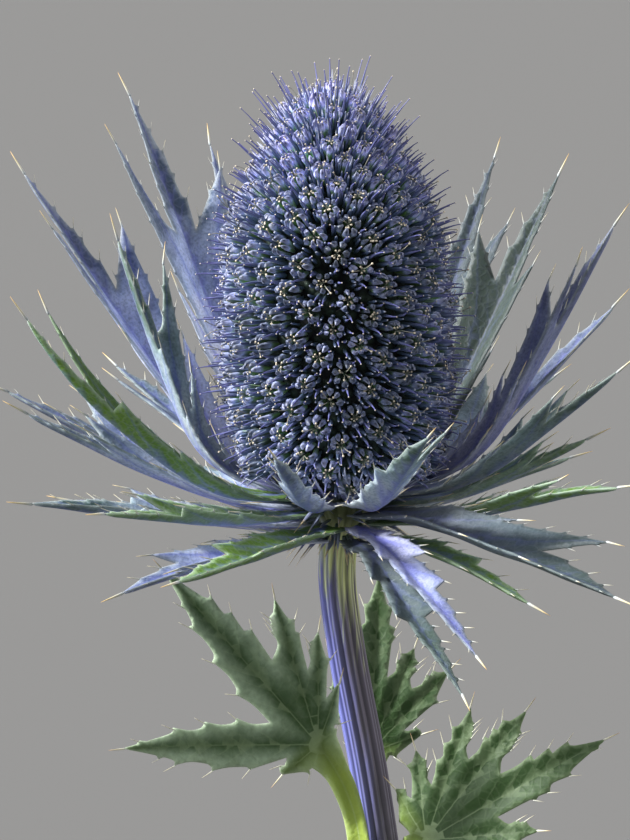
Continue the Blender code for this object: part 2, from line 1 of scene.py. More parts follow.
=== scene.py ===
"""Sea holly flower head on its leafy stem, in a small glass bottle of water: the looks.

Laid out as a Blender add-on and run as a script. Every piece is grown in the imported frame, in metres:
+Z up, -Y towards the viewer, with the origin at the middle of the bottle's foot.
"""

import math
import random
from collections import namedtuple

import bpy
import numpy as np
from bpy.props import FloatProperty, FloatVectorProperty, IntProperty, PointerProperty
from mathutils import Matrix, Vector
from mathutils.geometry import delaunay_2d_cdt


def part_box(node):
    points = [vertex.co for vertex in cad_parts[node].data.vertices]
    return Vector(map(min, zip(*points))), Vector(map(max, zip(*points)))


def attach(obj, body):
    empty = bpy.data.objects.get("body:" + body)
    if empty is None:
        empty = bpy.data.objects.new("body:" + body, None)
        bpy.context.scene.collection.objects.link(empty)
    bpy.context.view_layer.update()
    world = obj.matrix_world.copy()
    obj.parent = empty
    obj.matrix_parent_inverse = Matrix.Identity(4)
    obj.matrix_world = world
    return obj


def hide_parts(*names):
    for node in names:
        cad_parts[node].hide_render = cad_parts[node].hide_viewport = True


bl_info = {
    "name": "Sea Holly in a Bottle",
    "version": (1, 0, 0),
    "blender": (4, 5, 0),
    "location": "View3D > Sidebar > Sea Holly",
    "description": "Grows the florets, bracts, leaves, ribbed stem and bottle of a cut sea holly",
    "category": "Add Mesh",
}

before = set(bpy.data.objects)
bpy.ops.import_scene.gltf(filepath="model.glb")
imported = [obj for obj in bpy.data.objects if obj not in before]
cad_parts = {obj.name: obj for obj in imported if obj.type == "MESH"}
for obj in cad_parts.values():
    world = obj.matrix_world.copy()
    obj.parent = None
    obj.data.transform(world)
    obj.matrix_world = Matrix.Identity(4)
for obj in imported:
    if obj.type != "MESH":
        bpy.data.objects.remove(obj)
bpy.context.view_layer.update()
MM = 0.001

# Where the part's solids stand: the same values as the part's own source, so that each fine piece keeps
# its solid's form
STEM_RADIUS = 1.85 * MM
STEM_RIBS = 9
RIB_DEPTH = 0.1
STEM_ROUTE = [(5.4, 1.9, 4.6), (2.9, 1.6, 20.0), (0.3, 1.3, 36.0), (-2.2, 0.9, 51.0), (-4.3, 0.6, 64.0),
              (-6.7, 0.3, 80.0), (-8.9, 0.0, 92.0), (-10.0, -0.3, 100.5)]
SEAT_LENGTH = 3.6 * MM
FLARE = [(0.0, 1.05), (0.93, 1.05), (0.96, 1.25), (0.98, 1.75), (1.0, 2.5)]
NODE_HEIGHT = 71.5 * MM
HEAD_ORIGIN = Vector((-9.6, -1.4, 110.4)) * MM
HEAD_LEAN_FORWARD = math.radians(7.0)
HEAD_LEAN_LEFT = math.radians(1.8)
CONE_RADIUS = 11.2 * MM
CONE_FOOT = 0.8 * MM
CONE_WIDEST = 14.5 * MM
CONE_TOP = 41.0 * MM
CONE_BELOW = 22.0 * MM
CONE_POWER = 2.3
GOLDEN_ANGLE = math.pi * (3 - math.sqrt(5))
GAP = 0.3 * MM
SOLID_BLADE = 0.6 * MM

SEED = 7

# The surface that the florets stand on starts a little above the solid's foot. Near the top it is slimmer,
# and its florets lean up, crowd together and sink a little
CROWN_START = 0.7 * MM
TOP_START = 24 * MM
TOP_LENGTH = 14 * MM
TOP_NARROWING = 0.2
TOP_LEAN = 0.5
TOP_CROWDING = 0.9
TOP_SINK = 1.3 * MM

# The share of a turn from one scale or lobe round the head to the next
GOLDEN_SHARE = 0.618034

Bract = namedtuple("Bract", "azimuth rise length width left right sweep curl green violet dull")
# The part's rows for its bracts, how green and violet each one is, and how much painted shade darkens it:
# most on those on the right of the head, away from the key lamp. Those at 256 and 287 degrees and the lowest
# one at 284 have smaller lobes here, and the one at 287 is slimmer
UPPER_BRACTS = [
    Bract(6, 58, 38, 5.2, 0.7, 1.1, 0, 4, 0.0, 0.7, 0.5),
    Bract(46, 50, 42.5, 5.4, 0.8, 0.5, 2, 0, 0.1, 0.0, 1.0),
    Bract(88, 50, 42, 5.2, 1.0, 1.0, 0, 4, 0.1, 0.3, 0.3),
    Bract(126, 59, 50, 5.6, 1.1, 0.8, 3, 0, 0.05, 0.2, 0.0),
    Bract(170, 69, 35, 4.2, 0.3, 1.0, 0, 8, 0.4, 0.0, 0.2),
    Bract(208, 36, 39, 4.6, 0.4, 1.2, -4, 30, 1.0, 0.0, 0.25),
    Bract(256, 35, 25, 3.6, 0.1, 0.2, 0, 6, 0.15, 0.4, 0.3),
    Bract(284, 35, 31, 4.8, 0.9, 0.2, 4, 0, 0.3, 0.0, 0.25),
    Bract(334, 37, 31, 4.2, 0.8, 0.8, 4, 6, 0.3, 0.3, 0.5),
]
MIDDLE_BRACTS = [
    Bract(26, 37, 34, 4.4, 0.6, 0.6, 0, 4, 0.1, 0.6, 0.2),
    Bract(66, 38, 50, 4.8, 0.8, 0.8, 0, 6, 0.05, 0.1, 0.9),
    Bract(109, 45, 49, 5.0, 0.6, 0.6, 0, 6, 0.0, 0.3, 0.1),
    Bract(149, 50, 48, 5.4, 1.1, 0.9, 0, 4, 0.0, 0.35, 0.0),
    Bract(186, 26, 31, 4.0, 0.9, 0.9, 0, 8, 0.25, 0.4, 0.0),
    Bract(229, 14, 31, 4.0, 0.6, 0.8, -6, 4, 0.9, 0.1, 0.15),
    Bract(306, -1.5, 38.5, 6.2, 1.1, 0.8, 4, -4, 0.1, 0.2, 0.85),
    Bract(346, 26, 24, 3.8, 0.8, 0.8, 0, 4, 0.7, 0.1, 0.3),
]
LOWER_BRACTS = [
    Bract(12, 33, 26, 3.8, 0.6, 0.6, 0, 6, 0.4, 0.2, 0.2),
    Bract(50, 14, 35, 4.6, 0.9, 0.9, 0, 6, 0.3, 0.4, 0.35),
    Bract(90, 12, 35, 4.6, 0.9, 0.9, 0, 8, 0.3, 0.3, 0.3),
    Bract(130, 16, 36, 4.6, 0.9, 0.9, 0, 8, 0.2, 0.4, 0.1),
    Bract(168, 25.5, 35, 4.2, 0.9, 0.9, 0, 4, 0.2, 0.6, 0.0),
    Bract(204, 14.5, 32, 5.2, 0.2, 0.2, 3, 0, 0.25, 0.1, 0.0),
    Bract(250, 7, 35, 5.0, 0.4, 0.4, -12, 0, 1.0, 0.0, 0.2),
    Bract(287, -5, 38, 3.2, 0.2, 0.1, 1, -6, 0.0, 0.8, 0.25),
    Bract(327, 20, 31, 4.4, 0.4, 1.0, -2, -6, 0.95, 0.0, 0.0),
]
LOWEST_BRACTS = [
    Bract(32, 4, 27, 3.8, 0.7, 0.7, 0, 6, 0.5, 0.3, 0.4),
    Bract(80, -2, 29, 4.2, 0.8, 0.8, 0, 4, 0.4, 0.3, 0.4),
    Bract(128, 0, 29, 4.2, 0.8, 0.8, 0, 4, 0.3, 0.4, 0.2),
    Bract(178, 8, 26, 4.0, 0.7, 0.7, 0, 6, 0.2, 0.5, 0.0),
    Bract(224, 0, 28, 4.6, 0.9, 0.6, -2, -4, 0.0, 0.35, 0.0),
    Bract(284, -9.5, 39, 3.2, 0.2, 0.25, 3, -4, 0.15, 0.1, 0.88),
    Bract(312, -10, 25, 3.0, 0.3, 0.3, 2, -4, 0.9, 0.0, 0.4),
]
Tier = namedtuple("Tier", "name radius height bracts")
TIERS = [
    Tier("upper", 5.4 * MM, -0.8 * MM, UPPER_BRACTS),
    Tier("middle", 4.8 * MM, -2.3 * MM, MIDDLE_BRACTS),
    Tier("lower", 4.1 * MM, -3.8 * MM, LOWER_BRACTS),
    Tier("lowest", 3.5 * MM, -5.3 * MM, LOWEST_BRACTS),
]

# The form of a bract. Its lobes (root, tip, reach) and its teeth (place, reach) are in shares of its length,
# BASE_RISE is in degrees and CLIMB_LENGTH in millimetres. The fold is steeper than the solid's, and the
# lobes are wider
BRACT_FOLD = math.radians(30)
FOLD_LENGTH = 12 * MM
BASE_RISE = 6
CLIMB_LENGTH = 15
BRACT_STEPS = 60
BRACT_LOBES = [(0.06, 0.33, 0.100), (0.22, 0.56, 0.125), (0.42, 0.84, 0.155)]
BRACT_TEETH = [(0.70, 0.020), (0.80, 0.014)]
LOBE_BELLY = 0.055
LEAST_LOBE = 0.6 * MM
NOTCH_WIDTH = 0.86
# The way from the stem, as an azimuth, in which the bracts have the least of their pale band: the side of the
# head away from the key lamp, so that the band is partly painted light, strongest on the lit left side
SHADED_SIDE_WAY = math.radians(10)
BRACT_OUTLINE_STEP = 0.42 * MM
BRACT_TOOTH_GAP = 2.2 * MM
BRACT_TOOTH_SPINE = 1.3 * MM
BRACT_BARE = 3 * MM
BRACT_THICKNESS = 0.34 * MM
MIDRIB_WIDTH = 0.34 * MM
LOBE_VEIN_WIDTH = 0.24 * MM
SIDE_VEIN_WIDTH = 0.16 * MM
SIDE_VEIN_GAP = 2.4 * MM

Leaf = namedtuple("Leaf", "name azimuth palm ahead facing cup bloom fingers")
Finger = namedtuple("Finger", "angle length width")
# The part's rows for its leaves, and how much waxy bloom each one has. The bloom value also paints light and
# shade: the left leaf is paler, partly painted light, and the right leaf darker, painted shade
LEAVES = [
    Leaf("leaf_left", 228, (-11.9, -4.2, 84.0), (-0.56, -0.16, 0.82), (0.05, -0.96, 0.28), 1.2, 1.15, [
        Finger(92, 6.0, 2.2), Finger(51, 22, 4.6), Finger(5, 25, 5.2), Finger(-19, 17.0, 3.4),
        Finger(-35, 13, 2.6), Finger(-54, 8.0, 2.2)]),
    Leaf("leaf_back", 80, (-6.6, 4.8, 81.2), (0.06, 0.26, 0.95), (0.05, -0.95, 0.30), 1.0, 0.3, [
        Finger(26, 12, 2.8), Finger(0, 20, 4.2), Finger(-20, 13, 2.8), Finger(-41, 13, 3.4),
        Finger(-68, 7, 2.2)]),
    Leaf("leaf_right", 322, (-0.9, -3.4, 73.9), (0.74, -0.16, 0.65), (-0.18, -0.88, 0.44), 1.2, 0.05, [
        Finger(86, 7.5, 2.2), Finger(60, 10.5, 2.4), Finger(34, 15.5, 2.8), Finger(15, 18, 3.6),
        Finger(-8, 22.5, 4.8), Finger(-32, 13.5, 3.0), Finger(-53, 11.5, 2.6)]),
]

# The form of a leaf, as in the part, but with smaller teeth
STALK_WIDTH = 3.2 * MM
STALK_STEPS = 5
TOOTH_REACH = 0.45 * MM
PALM_DROOP = 1.5 * MM
LEAF_OUTLINE_STEP = 0.45 * MM
LEAF_TOOTH_GAP = 3.4 * MM
LEAF_TOOTH_SPINE = 1.2 * MM
LEAF_TIP_SPINE = 1.9 * MM
LEAF_THICKNESS = 0.32 * MM
LEAF_RIB_WIDTH = 0.36 * MM
LEAF_VEIN_WIDTH = 0.14 * MM
STALK_RIB_WIDTH = 0.45 * MM
LEAF_SWELL = 0.7 * MM
LEAF_SWELL_WIDTH = 2.6 * MM

# On every blade: how far a small tooth stands out and forward, how far a rib stands above it and below it,
# how deep a spine is rooted in it and how long a spine is that shows its whole colour, and how far light
# spreads inside it
TOOTH_OUT = 0.26 * MM
TOOTH_FORWARD = 0.2 * MM
RIB_ABOVE = 0.05 * MM
RIB_BELOW = 0.16 * MM
SPINE_ROOT = 0.35 * MM
LONG_SPINE = 2.2 * MM
GLOW_DEPTH = 1.0 * MM

# How deep the finest grooves of the stem are, as a share of its radius, and the way that its sunny side
# faces: towards the key lamp, so its sunny colour is painted light
FINE_GROOVE = 0.045
SUNNY_WAY = (-0.96, -0.2, 0.0)

# The bottle, as in the part, but with a rounded lip
NECK_RADIUS = 9 * MM
NECK_BASE = 52 * MM
SHOULDER_START = 38 * MM
LIP_HEIGHT = 5 * MM
LIP_RADIUS = 11 * MM
LIP_ROUNDING = 1.6 * MM
MOUTH_RADIUS = 6.6 * MM
HEEL = 3 * MM
TURN_STEPS = 96
# How far the water reaches into the wall, so that no film of air shows between them
WETTING = 0.04 * MM

# Each lamp's strength, softness in degrees, direction and tint
LAMPS = [
    ("key lamp", 7.6, 8, (0.83, 0.03, -0.56), (1.0, 0.99, 0.97)),
    ("fill lamp", 1.5, 40, (0.85, 0.4, -0.35), (0.98, 0.99, 1.0)),
    ("rim lamp", 1.5, 30, (-0.85, -0.1, -0.5), (1.0, 0.98, 0.96)),
]
STUDIO_STRENGTH = 0.68
# The point that stands in the middle of the picture
FRAME_MIDDLE = Vector((-12.2, -1.0, 116.4)) * MM
# How far the paper runs each way, in metres: its far edge is out of sight
PAPER_REACH = 14.0

Corner = namedtuple("Corner", "x y sharp spine")


def linear(code):
    """Linear RGB from an sRGB hex code."""
    channels = [int(code[i:i + 2], 16) / 255 for i in (0, 2, 4)]
    return tuple(c / 12.92 if c <= 0.04045 else ((c + 0.055) / 1.055) ** 2.4 for c in channels)


# Colours that no setting changes
BLACK = linear("000000")
WHITE = linear("FFFFFF")
PETAL_SHEEN = linear("C9CCF2")
HAIR_FOOT = linear("55705F")
STAMEN_SHAFT = linear("9A9488")
# Painted shade in the hollows of the receptacle
RECEPTACLE_PIT_SHADE = linear("0E1418")
DARK_MOTTLE = linear("2C3A48")
SPINE_MIDDLE = linear("D2C6A0")
LEAF_SPINE_FOOT = linear("DDE0D4")
LOBE_TIP = linear("D6C49A")
# Painted highlight along the ridges of the stem
RIDGE_SHEEN = linear("C4C8E4")
WATER_TINT = linear("F4FAFA")
STUDIO_GREY = linear("BDBDBC")


def colour(name, description, code):
    """A colour property with this sRGB default."""
    return FloatVectorProperty(name=name, description=description, subtype="COLOR", size=3, min=0, max=1,
                               default=linear(code))


def size(name, description, millimetres):
    """A length property with this default."""
    return FloatProperty(name=name, description=description, default=millimetres * MM, min=0,
                         unit="LENGTH", precision=5)


class FloretSettings(bpy.types.PropertyGroup):
    count: IntProperty(name="Florets", description="Florets on the cone", default=300, min=40, max=400)
    lobes: IntProperty(name="Petals", description="Petals in bud round each floret", default=7, min=5, max=10)
    bristle: size("Bristle reach", "How far a bracteole stands past its floret", 2.4)
    top_bristle: size("Top bristle reach", "The same near the top of the cone", 3.6)
    depth: colour("Depth", "Green foot of the petals, deep in the cone", "7CA860")
    flank: colour("Flank", "Lavender blue side of a petal", "ACB8E6")
    bud: colour("Bud", "Indigo swollen part of a petal", "222A46")
    tip: colour("Tip", "Very tip of a petal", "6A7090")
    # The edge colour is painted sheen: it lies along the two sides of each petal, where light catches its
    # thin edges
    edge: colour("Edge", "Thin pale edge of a petal", "B2B9D6")
    sepal: colour("Sepal", "Blue sepal", "66789A")
    sepal_tip: colour("Sepal tip", "Pale point of a sepal", "C6CCE2")
    scale: colour("Scale", "Pale lilac scales under the cone", "9A9CCB")
    bristle_colour: colour("Bristle", "Violet blue bracteole", "6A6CA8")
    cream: colour("Cream", "Stamens and bristle ends", "D8CCB6")
    core: colour("Core", "Dark receptacle under the florets", "465A4C")


class BractSettings(bpy.types.PropertyGroup):
    grain: size("Grain", "Distance between the points of a blade's mesh", 0.5)
    spine: size("Spine", "Length of the spine that a bract ends in", 2.6)
    base: colour("Base", "Pale lavender base of a blade", "E0E6FF")
    middle: colour("Middle", "Light blue middle of a blade", "ACC2E8")
    outer: colour("Outer", "Slate blue outer part of a blade", "324A5E")
    violet: colour("Violet", "Blade of the most violet bracts", "9093D8")
    green: colour("Green", "Blade of the greenest bracts", "5A7E1C")
    # The pale band is partly painted light: strongest on the bracts on the left of the head, which the key
    # lamp lights
    pale: colour("Pale band", "Whitish band along the middle of a blade, near its base", "DCE0FA")
    # Painted shade: the dark grey laid over the bracts that stand in shade
    dull: colour("Dull", "Dark grey blade of the dullest bracts", "2A333A")
    margin: colour("Margin", "Dark green-grey edges and lobes", "283C3A")
    vein: colour("Vein", "Violet midrib and side veins", "6A6ECC")
    rim: colour("Rim", "Thin pale line along the very edge", "C4CCDA")
    lobe: colour("Basal lobe", "Grey-blue lobes round the top of the stem", "868EAA")
    spine_base: colour("Spine base", "Foot of a spine", "AEB8C0")
    spine_tip: colour("Spine tip", "End of a spine", "E2B46A")


class LeafSettings(bpy.types.PropertyGroup):
    grain: size("Grain", "Distance between the points of a leaf's mesh", 0.5)
    blade: colour("Blade", "Green of the leaf", "3E5C32")
    bloom: colour("Bloom", "Pale waxy bloom on it", "C4D8C0")
    # Also laid over whole leaves with little bloom, the right one most, as painted shade
    shade: colour("Shade", "Dark mottling between the veins", "264217")
    sheath: colour("Sheath", "Yellow-green stalk", "8CA045")
    vein: colour("Vein", "Pale veins", "AFC499")
    spine_tip: colour("Spine tip", "End of a leaf's spine", "D98F5A")


class StemSettings(bpy.types.PropertyGroup):
    # Partly the stem's own yellow-green, partly painted light: painted paler under the head, where the bracts
    # shade it
    top: colour("Top", "Pale yellow-green under the head", "D4DE98")
    # The sunny and shaded sides are painted light and painted shade: lighter and bluer towards the key lamp,
    # darker away from it
    sunny: colour("Sunny side", "Violet-blue side in the sun", "7C82D2")
    shaded: colour("Shaded side", "Dull purple side", "6A6474")
    foot: colour("Foot", "Indigo lower part", "3E3C66")
    # Painted shade: the grooves are painted darker
    groove: colour("Groove", "Dark grooves between the ribs", "3F4048")
    flare: colour("Flare", "Olive collar that the bracts grow from", "7C845C")


class BottleSettings(bpy.types.PropertyGroup):
    wall: size("Wall", "Thickness of the glass", 2.2)
    floor: size("Floor", "Thickness of the glass under the water", 4.0)
    glass: colour("Glass", "Faint green of soda-lime glass", "EAF4F0")


class StageSettings(bpy.types.PropertyGroup):
    distance: FloatProperty(name="Distance", description="From the camera to the flower", default=0.42,
                            min=0.05, unit="LENGTH")
    elevation: FloatProperty(name="Elevation", description="How far the camera looks down",
                             default=math.radians(8), subtype="ANGLE")
    frame_height: size("Frame height", "Height of the picture at the flower", 84.0)
    floor: colour("Floor", "Grey paper", "6B6B6B")


GROUPS = {
    "holly_florets": FloretSettings,
    "holly_bracts": BractSettings,
    "holly_leaves": LeafSettings,
    "holly_stem": StemSettings,
    "holly_bottle": BottleSettings,
    "holly_stage": StageSettings,
}


def connect(tree, node, inputs):
    """Gives each input of a node its number or colour, or links it to another node's output or to a mark,
    which is a number that the mesh carries under this name at each of its points."""
    for key, value in inputs.items():
        if isinstance(value, str):
            value = add(tree, "ShaderNodeAttribute", out="Fac", attribute_name=value)
        if isinstance(value, bpy.types.NodeSocket):
            tree.links.new(value, node.inputs[key])
        elif node.inputs[key].type == "RGBA":
            node.inputs[key].default_value = (*value, 1.0)
        else:
            node.inputs[key].default_value = value


def add(tree, kind, inputs=(), out=0, ramp=(), **settings):
    """Adds a node with its settings, its ramp's (position, colour) stops and its inputs, and returns its
    output of this number or name."""
    made = tree.nodes.new(kind)
    for key, value in settings.items():
        setattr(made, key, value)
    for number, (position, shade) in enumerate(ramp):
        stops = made.color_ramp.elements
        stop = stops[number] if number < 2 else stops.new(position)
        stop.position = position
        stop.color = (*shade, 1.0)
    connect(tree, made, dict(inputs))
    return made.outputs[out]


def paint(tree, body, coats):
    """Lays coats of colour over the body, one after another. A coat is its colour, its strength, and terms
    of (value, factor, offset): value times factor plus offset, kept from 0 to 1. The coat shows by its
    strength times all its terms."""
    for shade, share, *terms in coats:
        for value, factor, offset in terms:
            term = add(tree, "ShaderNodeMath", {0: value, 1: factor, 2: offset}, operation="MULTIPLY_ADD",
                       use_clamp=True)
            share = add(tree, "ShaderNodeMath", {0: share, 1: term}, operation="MULTIPLY")
        body = add(tree, "ShaderNodeMix", {0: share, 6: body, 7: shade}, out=2, data_type="RGBA")
    return body


def new_material(name):
    """A material with its node tree and its shader."""
    material = bpy.data.materials.new(name)
    material.use_nodes = True
    tree = material.node_tree
    return material, tree, tree.nodes["Principled BSDF"]


def let_light_through(tree, shader, weight):
    """A thin living blade glows where the light falls on its other side."""
    connect(tree, shader, {"Subsurface Weight": weight, "Subsurface Radius": (1.0, 1.0, 1.0),
                           "Subsurface Scale": GLOW_DEPTH})


def smoothstep(x):
    """From 0 to 1, easing in and out."""
    x = np.clip(x, 0.0, 1.0)
    return x * x * (3 - 2 * x)


def head_matrix():
    """Where the head stands on its stem, and how it leans."""
    lean = Matrix.Rotation(-HEAD_LEAN_LEFT, 4, "Y") @ Matrix.Rotation(HEAD_LEAN_FORWARD, 4, "X")
    return Matrix.Translation(HEAD_ORIGIN) @ lean


def catmull_rom(points, steps):
    """Points along the smooth curve through the given ones, steps to each span."""
    ends = [2 * points[0] - points[1]] + points + [2 * points[-1] - points[-2]]
    curve = []
    for i in range(1, len(ends) - 2):
        a, b, c, d = ends[i - 1:i + 3]
        for step in range(steps):
            t = step / steps
            curve.append(0.5 * (2 * b + (c - a) * t + (2 * a - 5 * b + 4 * c - d) * t * t
                                + (3 * b - a - 3 * c + d) * t ** 3))
    curve.append(points[-1].copy())
    return curve


def stem_line(steps=3):
    """The stem's centre line, from the cut end to the top."""
    seat = head_matrix() @ Vector((0.0, 0.0, -SEAT_LENGTH))
    return catmull_rom([Vector(point) * MM for point in STEM_ROUTE] + [seat, HEAD_ORIGIN.copy()], steps)


def flare_at(share):
    """How much wider than the plain stem it is at this share of its height."""
    for (low, narrow), (high, wide) in zip(FLARE, FLARE[1:]):
        if share <= high:
            return narrow + (wide - narrow) * smoothstep((share - low) / (high - low))
    return FLARE[-1][1]


def finish_piece(name, points, faces, marks, materials, node, place=None, face_material=None):
    """Makes the mesh of a piece, gives its points their marks, and stands it for its CAD node."""
    mesh = bpy.data.meshes.new(name)
    mesh.from_pydata(np.asarray(points).tolist(), [], faces)
    for material in materials:
        mesh.materials.append(material)
    if face_material is not None:
        mesh.polygons.foreach_set("material_index", face_material)
    mesh.shade_smooth()
    for key, values in marks.items():
        values = np.asarray(values, dtype=np.float32)
        kind = "FLOAT_VECTOR" if values.ndim == 2 else "FLOAT"
        field = "vector" if values.ndim == 2 else "value"
        mesh.attributes.new(key, kind, "POINT").data.foreach_set(field, values.ravel())
    piece = bpy.data.objects.new(name, mesh)
    if place is not None:
        piece.matrix_world = place
    bpy.context.scene.collection.objects.link(piece)
    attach(piece, "root")
    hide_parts(node)


def unit(vectors):
    """The vectors at length 1."""
    return vectors / np.maximum(np.linalg.norm(vectors, axis=-1, keepdims=True), 1e-12)


def grow_tubes(lines, radii, shares, sides, across, flatness=1.0):
    """Points, faces and the share along of many closed tubes at once. lines is (tube, ring, 3), radii is
    (tube, ring), shares is how far along each ring is, and across is the direction in which each tube is
    widest; flatness is how thick it is the other way."""
    tubes, rings = radii.shape
    ahead = unit(lines[:, -1] - lines[:, 0])
    across = unit(across - ahead * (across * ahead).sum(1, keepdims=True))
    over = np.cross(ahead, across)
    turns = 2 * math.pi * np.arange(sides) / sides
    ring = (np.cos(turns)[:, None] * across[:, None, :]
            + flatness * np.sin(turns)[:, None] * over[:, None, :])
    points = lines[:, :, None, :] + radii[:, :, None, None] * ring[:, None, :, :]
    first = np.arange(tubes)[:, None, None] * rings * sides
    low = first + np.arange(rings - 1)[None, :, None] * sides
    here = np.arange(sides)
    after = (here + 1) % sides
    quads = np.stack([low + here, low + after, low + sides + after, low + sides + here], -1).reshape(-1, 4)
    foot = (first[:, 0] + here[::-1]).tolist()
    tip = (first[:, 0] + (rings - 1) * sides + here).tolist()
    along = np.broadcast_to(shares[None, :, None], (tubes, rings, sides)).reshape(-1)
    return points.reshape(-1, 3), quads.tolist() + foot + tip, along


def cone_radius(height):
    """Radius of the crown surface at this height of the head."""
    half = CONE_TOP - CONE_WIDEST if height > CONE_WIDEST else CONE_BELOW
    share = min(1.0, abs(height - CONE_WIDEST) / half)
    return CONE_RADIUS * (1 - share ** CONE_POWER) ** (1 / CONE_POWER)


def crown_radius(height):
    """Radius of the surface that the florets stand on, slimmer near the top than the crown surface."""
    return cone_radius(height) * (1 - TOP_NARROWING * smoothstep((height - TOP_START) / TOP_LENGTH))


def crowding(heights):
    """How much closer together the florets stand near the top of the cone."""
    return 1 + TOP_CROWDING * smoothstep((np.asarray(heights) - 27 * MM) / (11 * MM))


def floret_sites(count):
    """The places of the florets and their outward directions, laid out by the golden angle with an equal
    area each, but closer together near the top, as two arrays."""
    steps = 400
    start = CONE_FOOT + CROWN_START
    heights = [start + (CONE_TOP - start) * i / steps for i in range(steps + 1)]
    areas = [0.0]
    for low, high in zip(heights, heights[1:]):
        slant = math.hypot(high - low, crown_radius(high) - crown_radius(low))
        areas.append(areas[-1] + slant * (crown_radius(high) + crown_radius(low)) / 2 * crowding(low))
    places, outwards = [], []
    i = 0
    for k in range(count):
        wanted = areas[-1] * (k + 0.5) / count
        while areas[i + 1] < wanted:
            i += 1
        share = (wanted - areas[i]) / (areas[i + 1] - areas[i])
        z = heights[i] + (heights[i + 1] - heights[i]) * share
        slope = (crown_radius(heights[i + 1]) - crown_radius(heights[i])) / (heights[i + 1] - heights[i])
        turn = k * GOLDEN_ANGLE
        around = Vector((math.cos(turn), math.sin(turn), 0.0))
        places.append(around * crown_radius(z) + Vector((0, 0, z)))
        outwards.append((around + Vector((0, 0, 0.12 - slope))).normalized())
    return np.array(places), np.array(outwards)


def floret_frames(count):
    """Each floret's place, the direction it points in, and the two directions across it: up the cone and
    round it. The florets near the top stand more upright."""
    places, outwards = floret_sites(count)
    near_top = smoothstep((places[:, 2:3] - TOP_START) / TOP_LENGTH)
    outwards = unit(outwards + TOP_LEAN * near_top * [0.0, 0.0, 1.0])
    upward = np.array([0.0, 0.0, 1.0]) - outwards * outwards[:, 2:3]
    upward = unit(np.where(np.linalg.norm(upward, axis=1, keepdims=True) < 0.05, [[0.0, -1.0, 0.0]], upward))
    return places - TOP_SINK * near_top * [0.0, 0.0, 1.0], outwards, upward, np.cross(upward, outwards)


def make_floret_material(settings):
    """Petals in bud: matt living tissue, coloured blue by its sap, each petal a little its own tone. Each
    petal is paler along its two sides, a painted sheen where light catches its thin edges, and the florets
    near the top of the cone are painted paler, a painted highlight from the light above."""
    material, tree, shader = new_material("floret petal")
    ramp = [(0.34, settings.depth), (0.54, settings.flank), (0.8, settings.bud), (1.0, settings.tip)]
    body = add(tree, "ShaderNodeValToRGB", {"Fac": "along"}, ramp=ramp)
    # Painted sheen along the sides of each petal
    body = paint(tree, body, [(settings.edge, 1.0, ("side", 1.0, -0.45))])
    # Each floret's random tone, and the painted light near the top of the cone, set its hue and brightness
    hue = add(tree, "ShaderNodeMath", {0: "own", 1: 0.04, 2: 0.48}, operation="MULTIPLY_ADD")
    value = add(tree, "ShaderNodeMath", {0: "own", 1: 1.5, 2: 0.42}, operation="MULTIPLY_ADD")
    body = add(tree, "ShaderNodeHueSaturation", {"Hue": hue, "Value": value, "Color": body})
    connect(tree, shader, {"Base Color": body, "Roughness": 0.45, "Sheen Weight": 0.2, "Sheen Roughness": 0.4,
                           "Sheen Tint": PETAL_SHEEN})
    return material


def make_tipped_material(name, shaft, end, start):
    """Stiff horny hairs and spines: a coloured shaft that turns to the pale end over its last part."""
    material, tree, shader = new_material(name)
    ramp = [(0.0, HAIR_FOOT), (0.45, shaft), (start, shaft), (min(1.0, start + 0.1), end)]
    body = add(tree, "ShaderNodeValToRGB", {"Fac": "along"}, ramp=ramp)
    connect(tree, shader, {"Base Color": body, "Roughness": 0.35})
    return material


def grow_on_florets(name, count, rng, turns, rows, reach, rise, width, sides, flatness, material):
    """Grows one tube on each floret for each turn round it. rows are the (height, distance from the axis,
    half width) of its rings, from its foot up: rise stretches what is above the crown, reach the distances
    and width the widths."""
    places, outwards, upward, sideways = floret_frames(count)
    closeness = crowding(places[:, 2:3]) ** -0.5
    reach, width = reach * closeness, width * closeness ** 0.5
    each = turns.shape[1]
    spokes = upward[:, None] * np.cos(turns)[..., None] + sideways[:, None] * np.sin(turns)[..., None]
    high, far, wide = np.array(rows).T * MM
    heights = np.where(high > 0, rise[..., None], 1.0) * high
    lines = (places[:, None, None] + outwards[:, None, None] * heights[..., None]
             + spokes[:, :, None] * (reach[..., None] * far)[..., None])
    radii = (width[..., None] * wide).reshape(-1, len(rows))
    across = np.cross(outwards[:, None], spokes).reshape(-1, 3)
    shares = np.linspace(0, 1, len(rows))
    points, faces, along = grow_tubes(lines.reshape(-1, len(rows), 3), radii, shares, sides, across, flatness)
    own = 0.45 * rng.uniform(0, 1, (count, 1)) + 0.3 * rng.uniform(0, 1, (count, each))
    # Florets near the top of the cone are painted paler: painted light from above, over each one's own random
    # tone
    own = own + 0.65 * smoothstep((places[:, 2:3] - 26 * MM) / (12 * MM))
    # Which side of its tube each point lies on: the petals' painted sheen follows it
    side = np.abs(np.cos(2 * math.pi * np.arange(sides) / sides))
    marks = {"along": along, "own": np.repeat(own, len(rows) * sides),
             "side": np.tile(side, count * each * len(rows))}
    finish_piece(name, points, faces, marks, [material], "flower_cone", head_matrix())


def spaced(count, each, rng, jitter):
    """Evenly spaced turns round each floret, each floret turned its own way."""
    return (rng.uniform(0, 2 * math.pi, (count, 1)) + 2 * math.pi * np.arange(each) / each
            + rng.normal(0, jitter, (count, each)))


